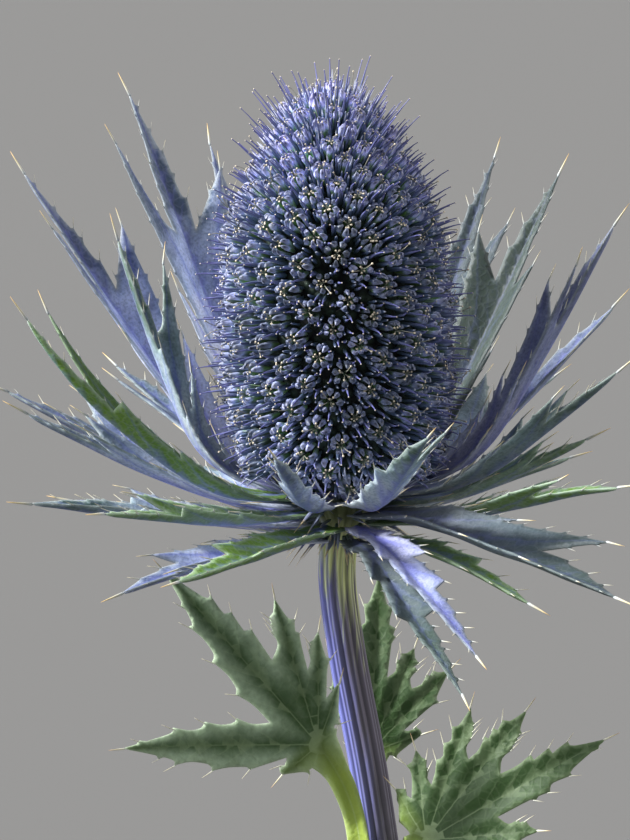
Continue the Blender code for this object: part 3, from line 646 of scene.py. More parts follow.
def make_florets(settings):
    """The ring of bud-like petals of each floret, swollen above and bent in over its eye."""
    rng = np.random.default_rng(SEED)
    count, lobes = settings.count, settings.lobes
    rows = [(-3.2, 0.5, 0.20), (-1.6, 0.74, 0.29), (-0.85, 0.92, 0.35), (-0.32, 1.03, 0.37),
            (0.03, 1.0, 0.32), (0.21, 0.84, 0.22), (0.28, 0.64, 0.07)]
    grown = rng.uniform(0.78, 1.02, (count, 1))
    reach = grown * rng.uniform(0.88, 1.12, (count, lobes))
    rise = rng.uniform(0.2, 3.0, (count, 1)) * rng.uniform(0.7, 1.3, (count, lobes))
    width = grown * rng.uniform(0.85, 1.15, (count, lobes))
    grow_on_florets("florets", count, rng, spaced(count, lobes, rng, 0.09), rows, reach, rise, width, 5, 0.85,
                    make_floret_material(settings))


def make_sepals(settings):
    """Pointed sepals and scales outside the petals of each floret."""
    rng = np.random.default_rng(SEED + 3)
    count, each = settings.count, 6
    rows = [(-3.0, 0.85, 0.22), (-1.6, 1.12, 0.26), (-0.7, 1.26, 0.21), (0.01, 1.34, 0.12),
            (0.5, 1.38, 0.015)]
    near_top = smoothstep((floret_sites(count)[0][:, 2:3] - 28 * MM) / (10 * MM))
    reach = rng.uniform(0.85, 1.25, (count, each))
    rise = rng.uniform(0.0, 1.0, (count, each)) * (0.8 + 2.6 * near_top)
    width = rng.uniform(0.7, 1.2, (count, each))
    material = make_tipped_material("floret sepal", settings.sepal, settings.sepal_tip, 0.72)
    grow_on_florets("sepals", count, rng, spaced(count, each, rng, 0.2), rows, reach, rise, width, 5, 0.7,
                    material)


def make_bristles(settings):
    """Bracteoles: stiff bristles under each floret, the lowest the longest. Those near the top of the
    cone stand well clear of their florets, with a small pale knob on each end."""
    rng = np.random.default_rng(SEED + 1)
    count = settings.count
    heights = floret_sites(count)[0][:, 2:3]
    top = smoothstep((heights - 33 * MM) / (5 * MM))
    low = smoothstep(heights / (9 * MM))
    rows = [(-3.2, 1.0, 0.20), (-1.4, 1.25, 0.19), (0.25, 1.45, 0.12), (0.7, 1.6, 0.06), (0.93, 1.75, 0.045),
            (0.965, 1.78, 0.085), (1.0, 1.8, 0.03)]
    turns = math.pi + np.array([0.0, -1.1, 1.1, -2.2, 2.2]) + rng.normal(0, 0.25, (count, 5))
    longest = settings.bristle + (settings.top_bristle - settings.bristle) * top
    lengths = np.array([1.0, 0.65, 0.65, 0.25, 0.25]) * rng.uniform(0.5, 1.2, (count, 5))
    rise = longest / MM * lengths * (0.15 + 0.85 * low)
    reach = rng.uniform(0.8, 1.2, (count, 5))
    material = make_tipped_material("violet bristle", settings.bristle_colour, settings.cream, 0.83)
    grow_on_florets("bristles", count, rng, turns, rows, reach, rise, np.ones((count, 5)), 5, 1.0, material)


def make_stamens(settings):
    """The cream stamens in the eye of each floret, one or two of them long and bent."""
    rng = np.random.default_rng(SEED + 2)
    count, each = settings.count, 6
    rows = [(-0.7, 0.12, 0.06), (0.35, 0.22, 0.045), (0.7, 0.45, 0.04), (0.9, 0.75, 0.05), (0.96, 0.82, 0.12),
            (1.0, 0.86, 0.04)]
    long = rng.uniform(0, 1, (count, each)) < 0.17
    rise = np.where(long, rng.uniform(0.6, 2.4, (count, each)), rng.uniform(0.12, 0.6, (count, each)))
    reach = np.where(long, rng.uniform(0.8, 1.6, (count, each)), rng.uniform(0.3, 0.75, (count, each)))
    material = make_tipped_material("cream stamen", STAMEN_SHAFT, settings.cream, 0.6)
    grow_on_florets("stamens", count, rng, spaced(count, each, rng, 0.3), rows, reach, rise,
                    np.ones((count, each)), 5, 1.0, material)


def grow_round_head(name, far, high, radii, twists, shares, material, node):
    """Grows flat scales or lobes round the head, each turned by the golden share of a turn from the last. far
    and high are the distance from the axis and the height of each one's rings, and shares is how far along
    it each ring is."""
    turns = 2 * math.pi * (np.arange(len(radii)) * GOLDEN_SHARE % 1.0)
    lines = np.stack([np.cos(turns)[:, None] * far, np.sin(turns)[:, None] * far, high], -1)
    across = np.stack([-np.sin(turns), np.cos(turns), twists], -1)
    points, faces, along = grow_tubes(lines, radii, shares, 6, across, 0.3)
    finish_piece(name, points, faces, {"along": along}, [material], node, head_matrix())


def make_scales(settings):
    """Small pale scales that spread under the lowest florets and hide the underside of the cone."""
    rng = np.random.default_rng(SEED + 5)
    count = 150
    rows = np.array([(4.5, -0.9, 0.3), (5.6, -0.35, 0.55), (6.8, 0.25, 0.6), (8.2, 0.95, 0.42),
                     (9.3, 1.7, 0.2), (10.3, 2.5, 0.02)]) * MM
    grown = rng.uniform(0.55, 1.1, (count, 1))
    far = rows[0, 0] + (rows[:, 0] - rows[0, 0]) * grown
    high = rows[0, 1] + (rows[:, 1] - rows[0, 1]) * rng.uniform(0.5, 1.6, (count, 1))
    radii = rows[:, 2] * rng.uniform(0.7, 1.1, (count, 1))
    twists = rng.normal(0, 0.3, count)
    material = make_tipped_material("pale scale", settings.scale, settings.sepal_tip, 0.6)
    grow_round_head("scales", far, high, radii, twists, np.linspace(0, 1, len(rows)), material, "flower_cone")


def make_receptacle(settings):
    """The receptacle: the dark body that the florets stand on, with pits a millimetre apart, painted near
    black in its hollows as painted shade.
    """
    rings, sides = 40, 48
    depth = 1.9 * MM
    share = np.linspace(0, 1, rings)
    heights = CONE_FOOT + (CONE_TOP - depth - CONE_FOOT) * share
    radii = np.array([max(0.05 * MM, crown_radius(z + depth * 0.4 * s) - depth)
                      for z, s in zip(heights, share)])
    radii = radii * np.sqrt(np.clip(1 - ((share - 0.85) / 0.16).clip(0) ** 2, 0.0004, 1))
    lines = np.stack([np.zeros(rings), np.zeros(rings), heights], 1)[None]
    points, faces, _ = grow_tubes(lines, radii[None], share, sides, np.array([[1.0, 0.0, 0.0]]))
    material, tree, shader = new_material("receptacle")
    place = add(tree, "ShaderNodeTexCoord", out="Object")
    cells = add(tree, "ShaderNodeTexVoronoi", {"Vector": place, "Scale": 1.0 / MM}, out="Distance")
    # Painted shade: near black in the low parts of the bumps
    body = paint(tree, settings.core, [(RECEPTACLE_PIT_SHADE, 1.0, (cells, 1.5, 0.0))])
    bump = add(tree, "ShaderNodeBump", {"Strength": 1.0, "Distance": 0.6 * MM, "Height": cells}, invert=True)
    connect(tree, shader, {"Base Color": body, "Normal": bump, "Roughness": 0.8})
    finish_piece("receptacle", points, faces, {}, [material], "flower_cone", head_matrix())


def inside(points, polygon):
    """Which points lie inside the polygon."""
    x, y = points[:, 0:1], points[:, 1:2]
    ax, ay = polygon[:, 0], polygon[:, 1]
    bx, by = np.roll(ax, -1), np.roll(ay, -1)
    rise = np.where(by == ay, 1e-15, by - ay)
    crossed = ((ay > y) != (by > y)) & (x < (bx - ax) * (y - ay) / rise + ax)
    return crossed.sum(1) % 2 == 1


def distances(points, starts, ends):
    """Distance from each point to each of the segments."""
    along = ends - starts
    to = points[:, None] - starts
    share = np.clip((to * along).sum(-1) / np.maximum((along ** 2).sum(-1), 1e-18), 0, 1)
    return np.linalg.norm(to - along * share[..., None], axis=-1)


def distance(points, starts, ends):
    """Distance from each point to the nearest of the segments."""
    return distances(points, starts, ends).min(1)


def fair(corners, step, tooth_gap, bare, dense, draw):
    """The outline through its corners: pointed at the sharp ones and rounded through the others, with
    small spiny teeth along its longer stretches: none where x is below bare, and more where it is below
    dense. Returns its points and its spines, each a place, a direction and a length."""
    sharp = [i for i, corner in enumerate(corners) if corner.sharp]
    outline, spines = [], []
    for first, last in zip(sharp, sharp[1:] + [sharp[0] + len(corners)]):
        knots = [Vector(corners[i % len(corners)][:2]) for i in range(first, last + 1)]
        longest = max((b - a).length for a, b in zip(knots, knots[1:]))
        curve = catmull_rom(knots, max(1, round(longest / step)))
        kept = [curve[0]]
        for point in curve[1:-1]:
            if (point - kept[-1]).length > 0.7 * step and (point - curve[-1]).length > 0.7 * step:
                kept.append(point)
        spine = corners[first].spine
        if spine:
            before = outline[-2:] or [curve[0] - Vector((step, 0))]
            after = kept[min(2, len(kept) - 1)]
            ahead = (curve[0] - before[0]).normalized() + (curve[0] - after).normalized()
            edge = (after - before[0]).normalized()
            ahead = ahead.normalized() + edge * edge.dot(curve[0].normalized())
            spines.append((curve[0].copy(), ahead.normalized(), spine))
        travelled = 0.0
        for i in range(2, len(kept) - 2):
            travelled += (kept[i] - kept[i - 1]).length
            ahead = (kept[i + 1] - kept[i - 1]).normalized()
            near = kept[i].x < dense
            if travelled < tooth_gap * (0.6 if near else 1.0) or kept[i].x < bare:
                continue
            travelled = -tooth_gap * draw.uniform(0.0, 0.5)
            out = Vector((ahead.y, -ahead.x))
            forward = ahead if ahead.dot(kept[i]) > 0 else -ahead
            kept[i] = kept[i] + out * TOOTH_OUT + forward * TOOTH_FORWARD
            spines.append((kept[i].copy(), (out * 0.55 + forward * 0.85).normalized(),
                           draw.uniform(0.5, 1.1) * (1.2 if near else 1.0) * MM))
        outline += kept
    return outline, spines


def grow_blade(outline, ribs, place, grain, thickness, lift):
    """A thin blade: the flat outline filled with points, split into triangles, bent by place and given its
    two faces. ribs are (line, width, strength); lift(points) raises the blade. Returns its points, faces
    and marks."""
    polygon = np.array([tuple(point) for point in outline])
    rim_ends = np.roll(polygon, -1, axis=0)
    chains, starts, ends, strengths, widths, main = [], [], [], [], [], []
    for line, width, strength in ribs:
        line = np.array([tuple(point) for point in line])
        chain = []
        for a, b in zip(line, line[1:]):
            pieces = max(1, round(np.linalg.norm(b - a) / grain))
            chain += [a + (b - a) * i / pieces for i in range(pieces)]
        chain.append(line[-1])
        chains.append(np.array(chain))
        starts.append(chains[-1][:-1])
        ends.append(chains[-1][1:])
        thinning = np.linspace(1.0, 0.25, len(chain) - 1)
        widths.append(width * thinning ** 0.5)
        strengths.append(strength * thinning)
        main += [strength > 0.5] * (len(chain) - 1)
    starts, ends = np.concatenate(starts), np.concatenate(ends)
    widths, strengths = np.concatenate(widths), np.concatenate(strengths)
    low, high = polygon.min(0), polygon.max(0)
    rows = np.arange(low[1], high[1], grain * 0.866)
    grid = np.array([(x + (grain / 2 if k % 2 else 0.0), y) for k, y in enumerate(rows)
                     for x in np.arange(low[0], high[0], grain)])
    grid = grid[inside(grid, polygon)]
    grid = grid[distance(grid, polygon, rim_ends) > 0.55 * grain]
    grid = grid[distance(grid, starts, ends) > 0.5 * grain]
    points = [Vector(point) for point in polygon]
    edges = [(i, (i + 1) % len(polygon)) for i in range(len(polygon))]
    for chain in chains:
        first = len(points)
        points += [Vector(point) for point in chain]
        edges += [(first + i, first + i + 1) for i in range(len(chain) - 1)]
    points += [Vector(point) for point in grid]
    verts, _, faces, *_ = delaunay_2d_cdt(points, edges, [list(range(len(polygon)))], 1, 1e-6)
    flat = np.array([tuple(v) for v in verts])
    near = distances(flat, starts, ends)
    rib = (strengths * np.clip(1 - near / widths, 0, 1)).max(1)
    vein = np.clip(1 - near / widths, 0, 1).max(1)
    to_rim = distance(flat, polygon, rim_ends)
    rim = np.clip(1 - to_rim / (0.6 * grain), 0, 1)
    inner = to_rim / (to_rim + near[:, main].min(1) + 1e-9)
    nudge = 0.02 * MM
    right, up = np.array([nudge, 0.0]), np.array([0.0, nudge])
    normals = unit(np.cross(place(flat + right) - place(flat - right), place(flat + up) - place(flat - up)))
    middle = place(flat) + normals * lift(flat)[:, None]
    half = thickness * (0.5 + 0.35 * rib) * (1 - 0.6 * rim)
    top = middle + normals * (half + RIB_ABOVE * rib)[:, None]
    bottom = middle - normals * (half + RIB_BELOW * rib)[:, None]
    count = len(flat)
    faces = [list(face) for face in faces]
    around = {(a, b) for face in faces for a, b in zip(face, face[1:] + face[:1])}
    walls = [[b, a, a + count, b + count] for a, b in around if (b, a) not in around]
    under = [[i + count for i in face[::-1]] for face in faces]
    marks = {"rib": np.tile(rib, 2), "vein": np.tile(vein, 2), "rim": np.tile(rim, 2),
             "inner": np.tile(inner, 2),
             "flat": np.column_stack([np.tile(flat, (2, 1)) / MM, np.repeat([0.0, 1.0], count)])}
    return np.concatenate([top, bottom]), faces + under + walls, marks


def grow_spines(spines, place):
    """Thin horny spines that carry on from the points of a blade, a little out of its plane."""
    feet = np.array([tuple(foot) for foot, _, _ in spines])
    ways = np.array([tuple(way) for _, way, _ in spines])
    lengths = np.array([length for _, _, length in spines])
    nudge = 0.05 * MM
    start = place(feet - ways * SPINE_ROOT)
    ahead = unit(place(feet) - place(feet - ways * nudge))
    shares = np.array([0.0, 0.08, 0.35, 0.7, 1.0])
    widths = np.array([0.3, 1.0, 0.8, 0.45, 0.08])
    lines = start[:, None] + ahead[:, None] * ((lengths + SPINE_ROOT)[:, None] * shares)[..., None]
    radii = (0.01 * MM + 0.055 * lengths)[:, None] * widths
    points, faces, along = grow_tubes(lines, radii, shares, 5, np.cross(ahead, [0.3, 0.5, 0.8]))
    return points, faces, along * np.repeat(np.clip(lengths / LONG_SPINE, 0, 1), 25)


def join_blade(blade, spines, extra):
    """Puts a blade's mesh and its spines' into one, with a material index for each face. extra are marks
    that are the same all over."""
    points, faces, marks = blade
    more, spine_faces, along = spines
    shift = len(points)
    joined = {key: np.concatenate([values, np.zeros((len(more),) + values.shape[1:])])
              for key, values in marks.items()}
    joined["tip"] = np.concatenate([np.zeros(shift), along])
    for key, value in extra.items():
        joined[key] = np.full(shift + len(more), value)
    kinds = [0] * len(faces) + [1] * len(spine_faces)
    faces = faces + [[i + shift for i in face] for face in spine_faces]
    return np.concatenate([points, more]), faces, joined, kinds


def bract_width(bract, share):
    """Half of a bract's plain width at this share of its length, without its lobes."""
    return bract.width / 2 * MM * min(0.8 + 0.6 * share, 1.0) * min(1.0, ((1 - share) / 0.58) ** 0.95)


def bract_edge(bract, size, draw, side):
    """One edge of a bract, from its base to just before its tip, and the veins that run to its lobes."""
    length = bract.length * MM
    corners = [Corner(0.0, side * bract_width(bract, 0.0), True, 0.0)]
    veins = []
    for root, tip, reach in BRACT_LOBES:
        grown = draw.uniform(0.85, 1.1) * (size if root > 0.4 else 0.35 + 0.55 * size)
        tip = root + (tip - root) * (0.3 + 0.7 * grown)
        notch = root + (tip - root) * max(0.5, 1 - 0.5 * grown)
        out = bract_width(bract, root) + (reach * length - bract_width(bract, root)) * grown
        out = max(out, bract_width(bract, tip) + LEAST_LOBE)
        spine = (1.0 + 1.1 * grown) * MM
        foot = Vector((max(0.02, root - 0.07) * length, 0.0))
        axis = Vector((tip * length, side * out)) - foot
        axis = axis * (1 - 0.7 * spine / axis.length)
        point = foot + axis
        across = Vector((-axis.y, axis.x)) * side * LOBE_BELLY
        belly = foot + axis * 0.66 - across
        corners.append(Corner(root * length, side * bract_width(bract, root), False, 0.0))
        corners.append(Corner(*(foot + axis * 0.6 + across), False, 0.0))
        corners.append(Corner(*point, True, spine))
        if side * belly.y > 1.15 * bract_width(bract, belly.x / length) and belly.x > (notch + 0.02) * length:
            corners.append(Corner(*belly, False, 0.0))
        corners.append(Corner(notch * length, side * bract_width(bract, notch) * NOTCH_WIDTH, True, 0.0))
        bend = foot + axis * 0.5 - Vector((-axis.y, axis.x)) * side * 0.04
        veins.append(([foot, bend, foot + axis * 0.97], LOBE_VEIN_WIDTH, 0.6))
    for share, reach in BRACT_TEETH:
        share += draw.uniform(-0.02, 0.02)
        out = bract_width(bract, share) + 0.3 * reach * length
        corners.append(Corner((share + 0.015) * length, side * out, True, BRACT_TOOTH_SPINE))
        corners.append(Corner((share + 0.03) * length, side * bract_width(bract, share + 0.03), False, 0.0))
    return corners, veins


def bract_place(bract, tier):
    """A function from points of a bract's flat outline to their bent places in the head's frame."""
    length, steps = bract.length * MM, BRACT_STEPS
    line, sides, ups = [Vector((tier.radius, 0.0, tier.height))], [], []
    for i in range(steps + 1):
        share = i / steps
        climb = float(smoothstep(share * bract.length / CLIMB_LENGTH))
        rise = math.radians(BASE_RISE + (bract.rise - BASE_RISE) * climb + bract.curl * share ** 2)
        turn = math.radians(bract.sweep) * share
        ahead = Vector((math.cos(rise) * math.cos(turn), math.cos(rise) * math.sin(turn), math.sin(rise)))
        side = Vector((-math.sin(turn), math.cos(turn), 0.0))
        sides.append(side)
        ups.append(ahead.cross(side))
        line.append(line[-1] + ahead * (length / steps))
    line, sides, ups = np.array(line), np.array(sides), np.array(ups)
    around = np.array(Matrix.Rotation(math.radians(bract.azimuth), 3, "Z"))

    def place(points):
        at = np.clip(points[:, 0] / length * steps, 0, steps - 1e-6)
        i = at.astype(int)
        part = (at - i)[:, None]
        centre = line[i] * (1 - part) + line[i + 1] * part
        side = sides[i] * (1 - part) + sides[i + 1] * part
        up = ups[i] * (1 - part) + ups[i + 1] * part
        fold = BRACT_FOLD * smoothstep(points[:, 0] / FOLD_LENGTH)
        out = points[:, 1]
        bent = side * (out * np.cos(fold))[:, None] + up * (np.abs(out) * np.sin(fold))[:, None]
        clasp = out ** 2 / (2 * tier.radius) * (1 - smoothstep(points[:, 0] / (6 * MM)))
        return (centre + bent - clasp[:, None] * [1.0, 0.0, 0.0]) @ around.T

    return place


def make_bract_material(settings):
    """Bract blade: tough leaf tissue, pale and blue with sap near the head and darker outside, matt under a
    waxy bloom. Its veins and its horny rim show paler, least on the blades in painted shade. Painted shade
    darkens the bracts that stand in shade, and the whitish band along each blade's base is painted strongest
    on the side of the head that the key lamp lights: partly the blade's own paleness, partly painted light.
    Its patterns lie on the flat mark, a point's place on the unbent blade in millimetres: clouds 3 mm wide, a
    net of veins 1 mm wide and mottling of a third of a millimetre."""
    material, tree, shader = new_material("waxy bract blade")
    flat = add(tree, "ShaderNodeAttribute", out="Vector", attribute_name="flat")
    cloud = add(tree, "ShaderNodeTexNoise", {"Vector": flat, "Scale": 0.32, "Detail": 3.0}, out="Fac")
    fine = add(tree, "ShaderNodeTexNoise", {"Vector": flat, "Scale": 3.0, "Detail": 4.0}, out="Fac")
    warp = add(tree, "ShaderNodeTexNoise", {"Vector": flat, "Scale": 0.9}, out="Color")
    bent = add(tree, "ShaderNodeVectorMath", {0: flat, 1: warp}, operation="ADD")
    cells = add(tree, "ShaderNodeTexVoronoi", {"Vector": bent, "Scale": 1.05}, out="Distance",
                feature="DISTANCE_TO_EDGE")
    net = add(tree, "ShaderNodeMath", {0: cells, 1: -7.0, 2: 1.0}, operation="MULTIPLY_ADD", use_clamp=True)
    drift = add(tree, "ShaderNodeMath", {0: cloud, 1: 0.5, 2: "reach"}, operation="MULTIPLY_ADD")
    along = add(tree, "ShaderNodeMath", {0: drift, 1: 1.2, 2: -0.3}, operation="MULTIPLY_ADD",
                use_clamp=True)
    inner = add(tree, "ShaderNodeMath", {0: cloud, 1: 0.6, 2: "inner"}, operation="MULTIPLY_ADD")
    band = add(tree, "ShaderNodeValToRGB",
               {"Fac": add(tree, "ShaderNodeMath", {0: inner, 1: 0.7}, operation="MULTIPLY")},
               ramp=[(0.32, BLACK), (0.5, WHITE), (0.74, WHITE), (0.86, BLACK)])
    blue = add(tree, "ShaderNodeValToRGB", {"Fac": along},
               ramp=[(0.35, settings.base), (0.62, settings.middle), (0.86, settings.outer)])
    # Veins, net and rim show clearly only where a blade is out of its painted shade
    clear = ("dull", -0.75, 1.0)
    body = paint(tree, blue, [
        (settings.violet, 1.0, ("violet", 1.0, 0.0), (along, -0.45, 1.0)),
        (settings.margin, 1.0, (inner, -3.0, 1.75), (along, 1.3, -0.1)),
        # Pale band near each blade's base: the blade's own paleness, made stronger towards the key lamp as
        # painted light
        (settings.pale, 1.0, (band, 1.0, 0.0), (along, -1.5, 1.3), ("pale", 1.0, 0.0)),
        (settings.vein, 0.6, (inner, 2.0, -1.5), (along, -1.0, 1.0)),
        # Painted shade over the bracts that stand in shade, on the right of the head
        (settings.dull, 1.0, ("dull", 1.0, 0.0)),
        (settings.green, 1.0, ("green", 1.0, 0.0), (inner, -0.25, 1.22)),
        (DARK_MOTTLE, 1.0, (fine, 1.6, -0.7)),
        (settings.pale, 0.08, (net, 1.0, 0.0), clear),
        (settings.vein, 1.0, ("vein", 2.0, -1.0), ("rib", 0.7, 0.05), clear),
        (settings.rim, 0.28, ("rim", 1.0, 0.0), clear),
    ])
    height = add(tree, "ShaderNodeMath", {0: net, 1: 0.6, 2: fine}, operation="MULTIPLY_ADD")
    bump = add(tree, "ShaderNodeBump", {"Strength": 0.3, "Distance": 0.08 * MM, "Height": height})
    connect(tree, shader, {"Base Color": body, "Normal": bump, "Roughness": 0.58, "Specular IOR Level": 0.35})
    let_light_through(tree, shader, 0.5)
    return material


def make_spine_material(name, foot, tip):
    """Horny spine: dry translucent tissue like a fingernail, pale, with a warmer end."""
    material, tree, shader = new_material(name)
    ramp = [(0.0, foot), (0.6, SPINE_MIDDLE), (1.0, tip)]
    body = add(tree, "ShaderNodeValToRGB", {"Fac": "tip"}, ramp=ramp)
    connect(tree, shader, {"Base Color": body, "Roughness": 0.5})
    return material


def waves(draw, height):
    """A gentle unevenness over a blade."""
    phase, other = draw.uniform(0, 6.28), draw.uniform(0, 6.28)

    def lift(points):
        x, y = points[:, 0] / MM, points[:, 1] / MM
        ripple = np.sin(x / 1.7 + phase) * np.sin(np.abs(y) / 0.9 + other)
        return height * (ripple + 0.6 * np.sin(x / 3.1 + other))

    return lift


def make_bract(name, bract, tier, draw, materials, settings):
    """One spiny bract: its toothed and lobed outline, its veins, and the blade and spines grown from them."""
    length = bract.length * MM
    left, left_veins = bract_edge(bract, bract.left, draw, 1)
    right, right_veins = bract_edge(bract, bract.right, draw, -1)
    trim = random.Random(f"{SEED} {name}")
    end = length - 0.8 * settings.spine
    corners = [Corner(0.0, 0.0, True, 0.0)] + right + [Corner(end, 0.0, True, settings.spine)] + left[::-1]
    outline, spines = fair(corners, BRACT_OUTLINE_STEP, BRACT_TOOTH_GAP, BRACT_BARE, 0.4 * length, trim)
    midrib = [Vector((0.0, 0.0)), Vector((end - 0.5 * MM, 0.0))]
    ribs = [(midrib, MIDRIB_WIDTH, 1.0)] + left_veins + right_veins
    share = 0.12
    while share < 0.8:
        half = bract_width(bract, share)
        for side in (-1, 1):
            out = Vector((share * length + 1.5 * half, side * half * 0.72))
            ribs.append(([Vector((share * length, 0.0)), out], SIDE_VEIN_WIDTH, 0.25))
        share += SIDE_VEIN_GAP / length
    place = bract_place(bract, tier)
    blade = grow_blade(outline, ribs, place, settings.grain, BRACT_THICKNESS, waves(trim, 0.06 * MM))
    # Strength of the pale band: painted light, most on the side of the head towards the key lamp
    pale = 0.55 - 0.45 * math.cos(math.radians(bract.azimuth) - SHADED_SIDE_WAY)
    # Its green and violet, its pale band's painted light and its painted shade
    colouring = {"green": bract.green, "violet": bract.violet, "pale": pale, "dull": bract.dull}
    points, faces, marks, kinds = join_blade(blade, grow_spines(spines, place), colouring)
    marks["reach"] = marks["flat"][:, 0] * MM / length
    finish_piece("blade_" + name, points, faces, marks, materials, "bract_" + name, head_matrix(),
                 kinds)


def make_bracts(settings):
    """All the bracts, tier by tier."""
    materials = [make_bract_material(settings),
                 make_spine_material("bract spine", settings.spine_base, settings.spine_tip)]
    draw = random.Random(SEED)
    for tier in TIERS:
        for number, bract in enumerate(tier.bracts, 1):
            make_bract(f"{tier.name}_{number:02d}", bract, tier, draw, materials, settings)


def make_basal_lobes(settings):
    """Small spine-tipped lobes at the foot of the bracts: the upper ones stand out, the lower ones hang
    round the top of the stem."""
    rng = np.random.default_rng(SEED + 4)
    count = 170
    foot = rng.uniform(-5.2, -1.0, (count, 1)) * MM
    low = smoothstep((-foot - 2.2 * MM) / (3 * MM))
    start = 4.6 * MM + 0.42 * (foot + 0.8 * MM)
    length = rng.uniform(2.0, 7.0, (count, 1)) * (1 - 0.3 * low) * MM
    tilt = np.radians(14 - 40 * low + rng.uniform(-24, 20, (count, 1)))
    shares = np.array([0.0, 0.22, 0.45, 0.66, 0.8, 1.0])
    widths = np.array([0.2, 0.26, 0.2, 0.1, 0.05, 0.02]) * MM
    sag = 0.12 * length * shares ** 2
    far = start + length * np.cos(tilt) * shares
    high = foot + length * np.sin(tilt) * shares - sag
    twists = rng.normal(0, 0.4, count)
    radii = widths * rng.uniform(0.7, 1.3, (count, 1))
    material = make_tipped_material("basal lobe", settings.lobe, LOBE_TIP, 0.6)
    grow_round_head("basal_lobes", far, high, radii, twists, shares, material, "bract_lowest_06")


def half_angle(finger, other):
    """Half the angle between two neighbouring fingers, or a wide one where a finger has no neighbour."""
    if other is finger:
        return math.radians(45)
    return math.radians(abs(other.angle - finger.angle)) / 2


def notch_depth(finger, other):
    """How far from the middle of the palm two neighbouring fingers part."""
    if other is finger:
        return 0.2 * finger.length * MM
    parted = (finger.width + other.width) / 4 * MM / math.tan(half_angle(finger, other))
    return min(parted, 0.6 * min(finger.length, other.length) * MM)


def finger_body(finger, share):
    """Half of a finger's width at this share of its length, without its teeth: a lance shape."""
    return finger.width / 2 * MM * min(1.0, 0.6 + share, (max(0.0, 1 - share) / 0.6) ** 0.85)


def finger_edge(finger, side, other):
    """The toothed edge of a leaf's finger that faces its neighbour, from root to tip, in the finger's own
    axes, and the veins that run to its teeth."""
    length = finger.length * MM
    wedge = math.tan(half_angle(finger, other))
    teeth = min(3, int(finger.length / 5))
    first = notch_depth(finger, other) / length + 0.06
    corners, veins = [], []
    for k in range(teeth):
        share = first + (0.78 - first) * (k + (0.15 if side > 0 else 0.0)) / teeth
        body = finger_body(finger, share + 0.05)
        tip = (share + 0.08) * length
        reach = min(body + TOOTH_REACH, tip * wedge - GAP)
        if reach > body + TOOTH_REACH / 2:
            low = min(finger_body(finger, share), share * length * wedge - GAP / 2)
            back = tip + 0.35 * MM
            corners.append(Corner(share * length, side * low, False, 0.0))
            corners.append(Corner(tip, side * reach, True, LEAF_TOOTH_SPINE))
            corners.append(Corner(back, side * finger_body(finger, back / length), False, 0.0))
            line = [Vector((tip - 1.8 * reach, 0.0)), Vector((tip, side * reach)) * 0.97]
            veins.append((line, SIDE_VEIN_WIDTH, 0.35))
    return corners, veins


def leaf_outline(leaf, stalk):
    """The corners of a leaf, its palm at the origin and its stalk along -X, and its ribs."""
    half = STALK_WIDTH / 2
    shares = [i / STALK_STEPS for i in range(STALK_STEPS)]
    lower = [(-stalk * (1 - share), -half * (1 - 0.25 * math.sin(math.pi * share))) for share in shares]
    corners = [Corner(-stalk, 0.0, True, 0.0)] + [Corner(x, y, x <= -stalk, 0.0) for x, y in lower]
    ribs = [([Vector((-stalk, 0.0)), Vector((0.0, 0.0))], STALK_RIB_WIDTH, 1.0)]
    fingers = sorted(leaf.fingers, key=lambda finger: finger.angle)
    for number, finger in enumerate(fingers):
        turn = Matrix.Rotation(math.radians(finger.angle), 2)
        before = fingers[max(0, number - 1)]
        after = fingers[min(len(fingers) - 1, number + 1)]
        lower_edge, lower_veins = finger_edge(finger, -1, before)
        upper_edge, upper_veins = finger_edge(finger, 1, after)
        tip = Corner((finger.length - 1.3) * MM, 0.0, True, LEAF_TIP_SPINE)
        for corner in lower_edge + [tip] + upper_edge[::-1]:
            corners.append(Corner(*(turn @ Vector(corner[:2])), corner.sharp, corner.spine))
        if after is not finger:
            depth = notch_depth(finger, after)
            middle = math.radians((finger.angle + after.angle) / 2)
            corners.append(Corner(depth * math.cos(middle), depth * math.sin(middle), True, 0.0))
        end = turn @ Vector(((finger.length - 1.8) * MM, 0.0))
        ribs.append(([Vector((0.0, 0.0)), end], LEAF_RIB_WIDTH, 1.0))
        share = 0.3
        while share < 0.85 and finger.length > 9:
            body = finger_body(finger, share)
            for side in (-1, 1):
                out = Vector((share * finger.length * MM + 1.3 * body, side * 0.7 * body))
                root = turn @ Vector((share * finger.length * MM, 0.0))
                ribs.append(([root, turn @ out], LEAF_VEIN_WIDTH, 0.22))
            share += 2.3 / finger.length
        for line, width, strength in lower_veins + upper_veins:
            ribs.append(([turn @ point for point in line], width, strength))
    corners += [Corner(x, -y, x <= -stalk, 0.0) for x, y in lower[::-1]]
    return corners, ribs


def stem_at(height):
    """The stem's centre and upward direction at this height."""
    line = stem_line()
    for low, high in zip(line, line[1:]):
        if high.z >= height:
            return low.lerp(high, (height - low.z) / (high.z - low.z)), (high - low).normalized()
    return line[-1], (line[-1] - line[-2]).normalized()


